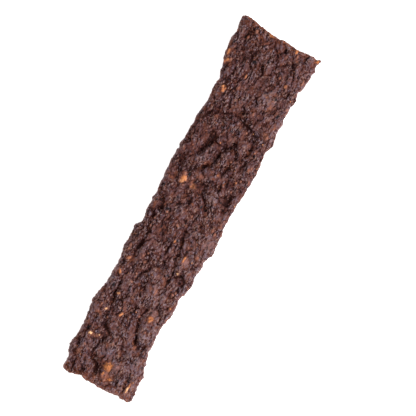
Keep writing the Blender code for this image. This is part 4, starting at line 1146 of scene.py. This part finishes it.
def random_number(tree, low, high, seed):
    """A number for each point, somewhere between two others."""
    return outputs_of(put(tree, "FunctionNodeRandomValue", low, high, None, seed, data_type="FLOAT"))


def set_in(tree, points, facing, turn, half_length, half_width, proud, rounds):
    """Chips on points of the skin, each lying in it with only its top bare."""
    ball = put(tree, "GeometryNodeMeshIcoSphere", 1.0, rounds).outputs["Mesh"]
    core = put(tree, "ShaderNodeSeparateXYZ", put(tree, "GeometryNodeInputPosition")).outputs["Z"]
    ball = stored(tree, ball, "core", core)
    flat = put(tree, "FunctionNodeAlignRotationToVector", None, None, facing, axis="Z")
    about = put(tree, "FunctionNodeAxisAngleToRotation", (0.0, 0.0, 1.0), turn)
    rotation = put(tree, "FunctionNodeRotateRotation", flat, about, rotation_space="LOCAL")
    thick = summed(tree, proud, (half_width, 0.25))
    sunk = vector(tree, "SCALE", facing, product(tree, thick, -0.35))
    points = put(tree, "GeometryNodeSetPosition", points, None, None, sunk)
    scale = put(tree, "ShaderNodeCombineXYZ", half_length, half_width, thick)
    return put(tree, "GeometryNodeInstanceOnPoints", points, None, ball, None, None, rotation, scale)


def marked_chips(tree, given, meat):
    """The marked chips, dropped onto the skin from above."""
    marked = put(tree, "GeometryNodeMeshToPoints", given["Geometry"]).outputs[0]
    above = vector(tree, "ADD", put(tree, "GeometryNodeInputPosition"), (0.0, 0.0, DROP))
    landing = put(
        tree, "GeometryNodeRaycast", meat, None, above, (0.0, 0.0, -1.0), 1.0,
        data_type="FLOAT").outputs
    marked = stored(tree, marked, "facing", landing["Hit Normal"], "FLOAT_VECTOR")
    landed = put(tree, "GeometryNodeSetPosition", marked, landing["Is Hit"], landing["Hit Position"])
    turn, half_length, half_width = (
        held(tree, label) for label in ("turn", "half_length", "half_width"))
    facing = held(tree, "facing", "FLOAT_VECTOR")
    return set_in(tree, landed, facing, turn, half_length, half_width, given["Proud"], rounds=3)


def scattered_chips(tree, given, meat):
    """Small chips, which lie anywhere on the skin."""
    spread = put(
        tree, "GeometryNodeDistributePointsOnFaces", meat, None, given["Scattered"], given["Seed"],
        distribute_method="RANDOM").outputs
    half = random_number(tree, given["Smallest"], given["Largest"], given["Seed"])
    sown = stored(tree, spread["Points"], "tone", random_number(tree, 0.2, 1.1, TONE_SEED))
    sown = stored(tree, sown, "half_width", half)
    half_width = held(tree, "half_width")
    half_length = product(tree, half_width, 1.4)
    turn = random_number(tree, -0.6, 0.6, TURN_SEED)
    return set_in(
        tree, sown, spread["Normal"], turn, half_length, half_width, given["Proud"], rounds=2)


def chip_tree():
    """Sets a chip on each mark, scatters small ones, sinks them in the skin and roughens them."""
    tree, given, result = new_tree(
        "gristle_chips", "GeometryNodeTree",
        [("Geometry", "NodeSocketGeometry"), ("Meat", "NodeSocketObject"),
         *number_inputs(("proud", "scattered", "smallest", "largest")),
         ("Seed", "NodeSocketInt"), ("Material", "NodeSocketMaterial")],
        [("Geometry", "NodeSocketGeometry")])
    meat = put(tree, "GeometryNodeObjectInfo", given["Meat"]).outputs["Geometry"]
    chips = put(tree, "GeometryNodeJoinGeometry")
    tree.links.new(outputs_of(marked_chips(tree, given, meat)), chips.inputs[0])
    tree.links.new(outputs_of(scattered_chips(tree, given, meat)), chips.inputs[0])
    whole = put(tree, "GeometryNodeRealizeInstances", chips)

    # Each is roughened by its own size, and none reaches below the floor.
    position = outputs_of(put(tree, "GeometryNodeInputPosition"))
    raggedness = calc(tree, "MINIMUM", held(tree, "half_width"), 0.4 * MM)
    at = vector(tree, "SCALE", position, calc(tree, "DIVIDE", 1.0, raggedness))
    rough = vector(tree, "MULTIPLY", strayed(tree, at, 0.9, 1.0), (2.6, 2.6, 0.5))
    moved = vector(tree, "ADD", position, vector(tree, "SCALE", rough, raggedness))
    whole = put(tree, "GeometryNodeSetPosition", whole, None, kept_above_floor(tree, moved))
    dressed = put(tree, "GeometryNodeSetMaterial", whole, None, given["Material"])
    tree.links.new(outputs_of(dressed), result["Geometry"])
    return tree


class JERKY_OT_flecks(bpy.types.Operator):
    """Makes the chips of gristle that lie bare in the skin"""

    bl_idname = "jerky.flecks"
    bl_label = "Gristle Flecks"

    def execute(self, context):
        flecks = context.scene.jerky_flecks
        source = marks("chip_source", CHIPS)
        growth = source.modifiers.new("chips", "NODES")
        growth.node_group = chip_tree()
        set_inputs(
            growth, meat=bpy.data.objects[MEAT_PIECE], proud=flecks.proud, scattered=flecks.scattered,
            smallest=flecks.smallest, largest=flecks.largest, seed=flecks.seed,
            material=fleck_material(flecks))
        piece = as_piece(source, FLECK_PIECE)
        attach(piece, BODY)
        return {"FINISHED"}


def aimed_light(name, power, side, stand):
    """A square soft light that points at the middle of the strip."""
    light = bpy.data.lights.new(name, "AREA")
    light.energy = power
    light.size = side
    lamp = in_scene(name, light)
    lamp.location = stand
    lamp.rotation_euler = (-Vector(stand)).to_track_quat("-Z", "Y").to_euler()


# The soft lights stand beside the strip and over it. Each has a side of its square and a place.
KEY_SIDE, KEY_PLACE = 0.4, (0.05, -0.52, 0.42)
FILL_SIDE, FILL_PLACE = 0.5, (-0.15, 0.5, 0.35)
HALF_FLOOR = 3.0

# The photograph looks straight down. Its middle is this point of the strip's outline, its right is
# this direction along and across the strip, and it takes in this width.
VIEW_MIDDLE = (4.29, -6.15)
VIEW_RIGHT = Vector((0.4733, -0.8809, 0.0))
VIEW_WIDTH = 160.96
SENSOR = 36.0


class JERKY_OT_stage(bpy.types.Operator):
    """Makes the floor, the soft lights and the camera that looks straight down"""

    bl_idname = "jerky.stage"
    bl_label = "Stage"

    def execute(self, context):
        stage = context.scene.jerky_stage
        material, _, shader = new_material("floor")
        shader["Base Color"].default_value = stage.floor_colour
        shader["Roughness"].default_value = 0.9
        shader["Specular IOR Level"].default_value = 0.0
        shader["Emission Color"].default_value = stage.floor_colour
        shader["Emission Strength"].default_value = stage.floor_glow
        mesh = bpy.data.meshes.new("floor")
        corners = [(x * HALF_FLOOR, y * HALF_FLOOR, 0.0) for x, y in ((-1, -1), (1, -1), (1, 1), (-1, 1))]
        mesh.from_pydata(corners, [], [(0, 1, 2, 3)])
        mesh.materials.append(material)
        in_scene("floor", mesh)

        world = bpy.data.worlds.new("room")
        world.use_nodes = True
        background = world.node_tree.nodes["Background"].inputs
        background["Color"].default_value = (1.0, 1.0, 1.0, 1.0)
        background["Strength"].default_value = stage.sky_strength
        context.scene.world = world
        aimed_light("key", stage.key_power, KEY_SIDE, KEY_PLACE)
        aimed_light("fill", stage.fill_power, FILL_SIDE, FILL_PLACE)

        data = bpy.data.cameras.new("camera")
        data.sensor_width = SENSOR
        data.lens = stage.lens
        camera = in_scene("camera", data)
        middle = place(*VIEW_MIDDLE)
        away = VIEW_WIDTH * MM * stage.lens / SENSOR + 0.5 * CAD_BOX[1].z
        back = Vector((0.0, 0.0, 1.0))
        right = VIEW_RIGHT.normalized()
        turned = Matrix((right, back.cross(right), back)).transposed()
        camera.matrix_world = Matrix.Translation((middle.x, middle.y, away)) @ turned.to_4x4()
        context.scene.camera = camera
        context.scene.view_settings.view_transform = "Standard"
        return {"FINISHED"}


class JERKY_PT_panel(bpy.types.Panel):
    """Lists the pieces of the strip and their sizes and colours"""

    bl_label = "Beef Lung Jerky"
    bl_idname = "JERKY_PT_panel"
    bl_space_type = "VIEW_3D"
    bl_region_type = "UI"
    bl_category = "Jerky"

    def draw(self, context):
        for operator, settings in (
            (JERKY_OT_meat, context.scene.jerky_meat),
            (JERKY_OT_flecks, context.scene.jerky_flecks),
            (JERKY_OT_stage, context.scene.jerky_stage),
        ):
            box = self.layout.box()
            box.operator(operator.bl_idname)
            for name in settings.__annotations__:
                box.prop(settings, name)


CLASSES = (
    MeatProperties, FleckProperties, StageProperties, JERKY_OT_meat, JERKY_OT_flecks, JERKY_OT_stage,
    JERKY_PT_panel,
)


def register():
    for cls in CLASSES:
        bpy.utils.register_class(cls)
    bpy.types.Scene.jerky_meat = PointerProperty(type=MeatProperties)
    bpy.types.Scene.jerky_flecks = PointerProperty(type=FleckProperties)
    bpy.types.Scene.jerky_stage = PointerProperty(type=StageProperties)


def unregister():
    del bpy.types.Scene.jerky_stage
    del bpy.types.Scene.jerky_flecks
    del bpy.types.Scene.jerky_meat
    for cls in reversed(CLASSES):
        bpy.utils.unregister_class(cls)


def main():
    """Makes each piece in turn."""
    register()
    bpy.ops.jerky.meat()
    bpy.ops.jerky.flecks()
    bpy.ops.jerky.stage()


if __name__ == "__main__":
    main()
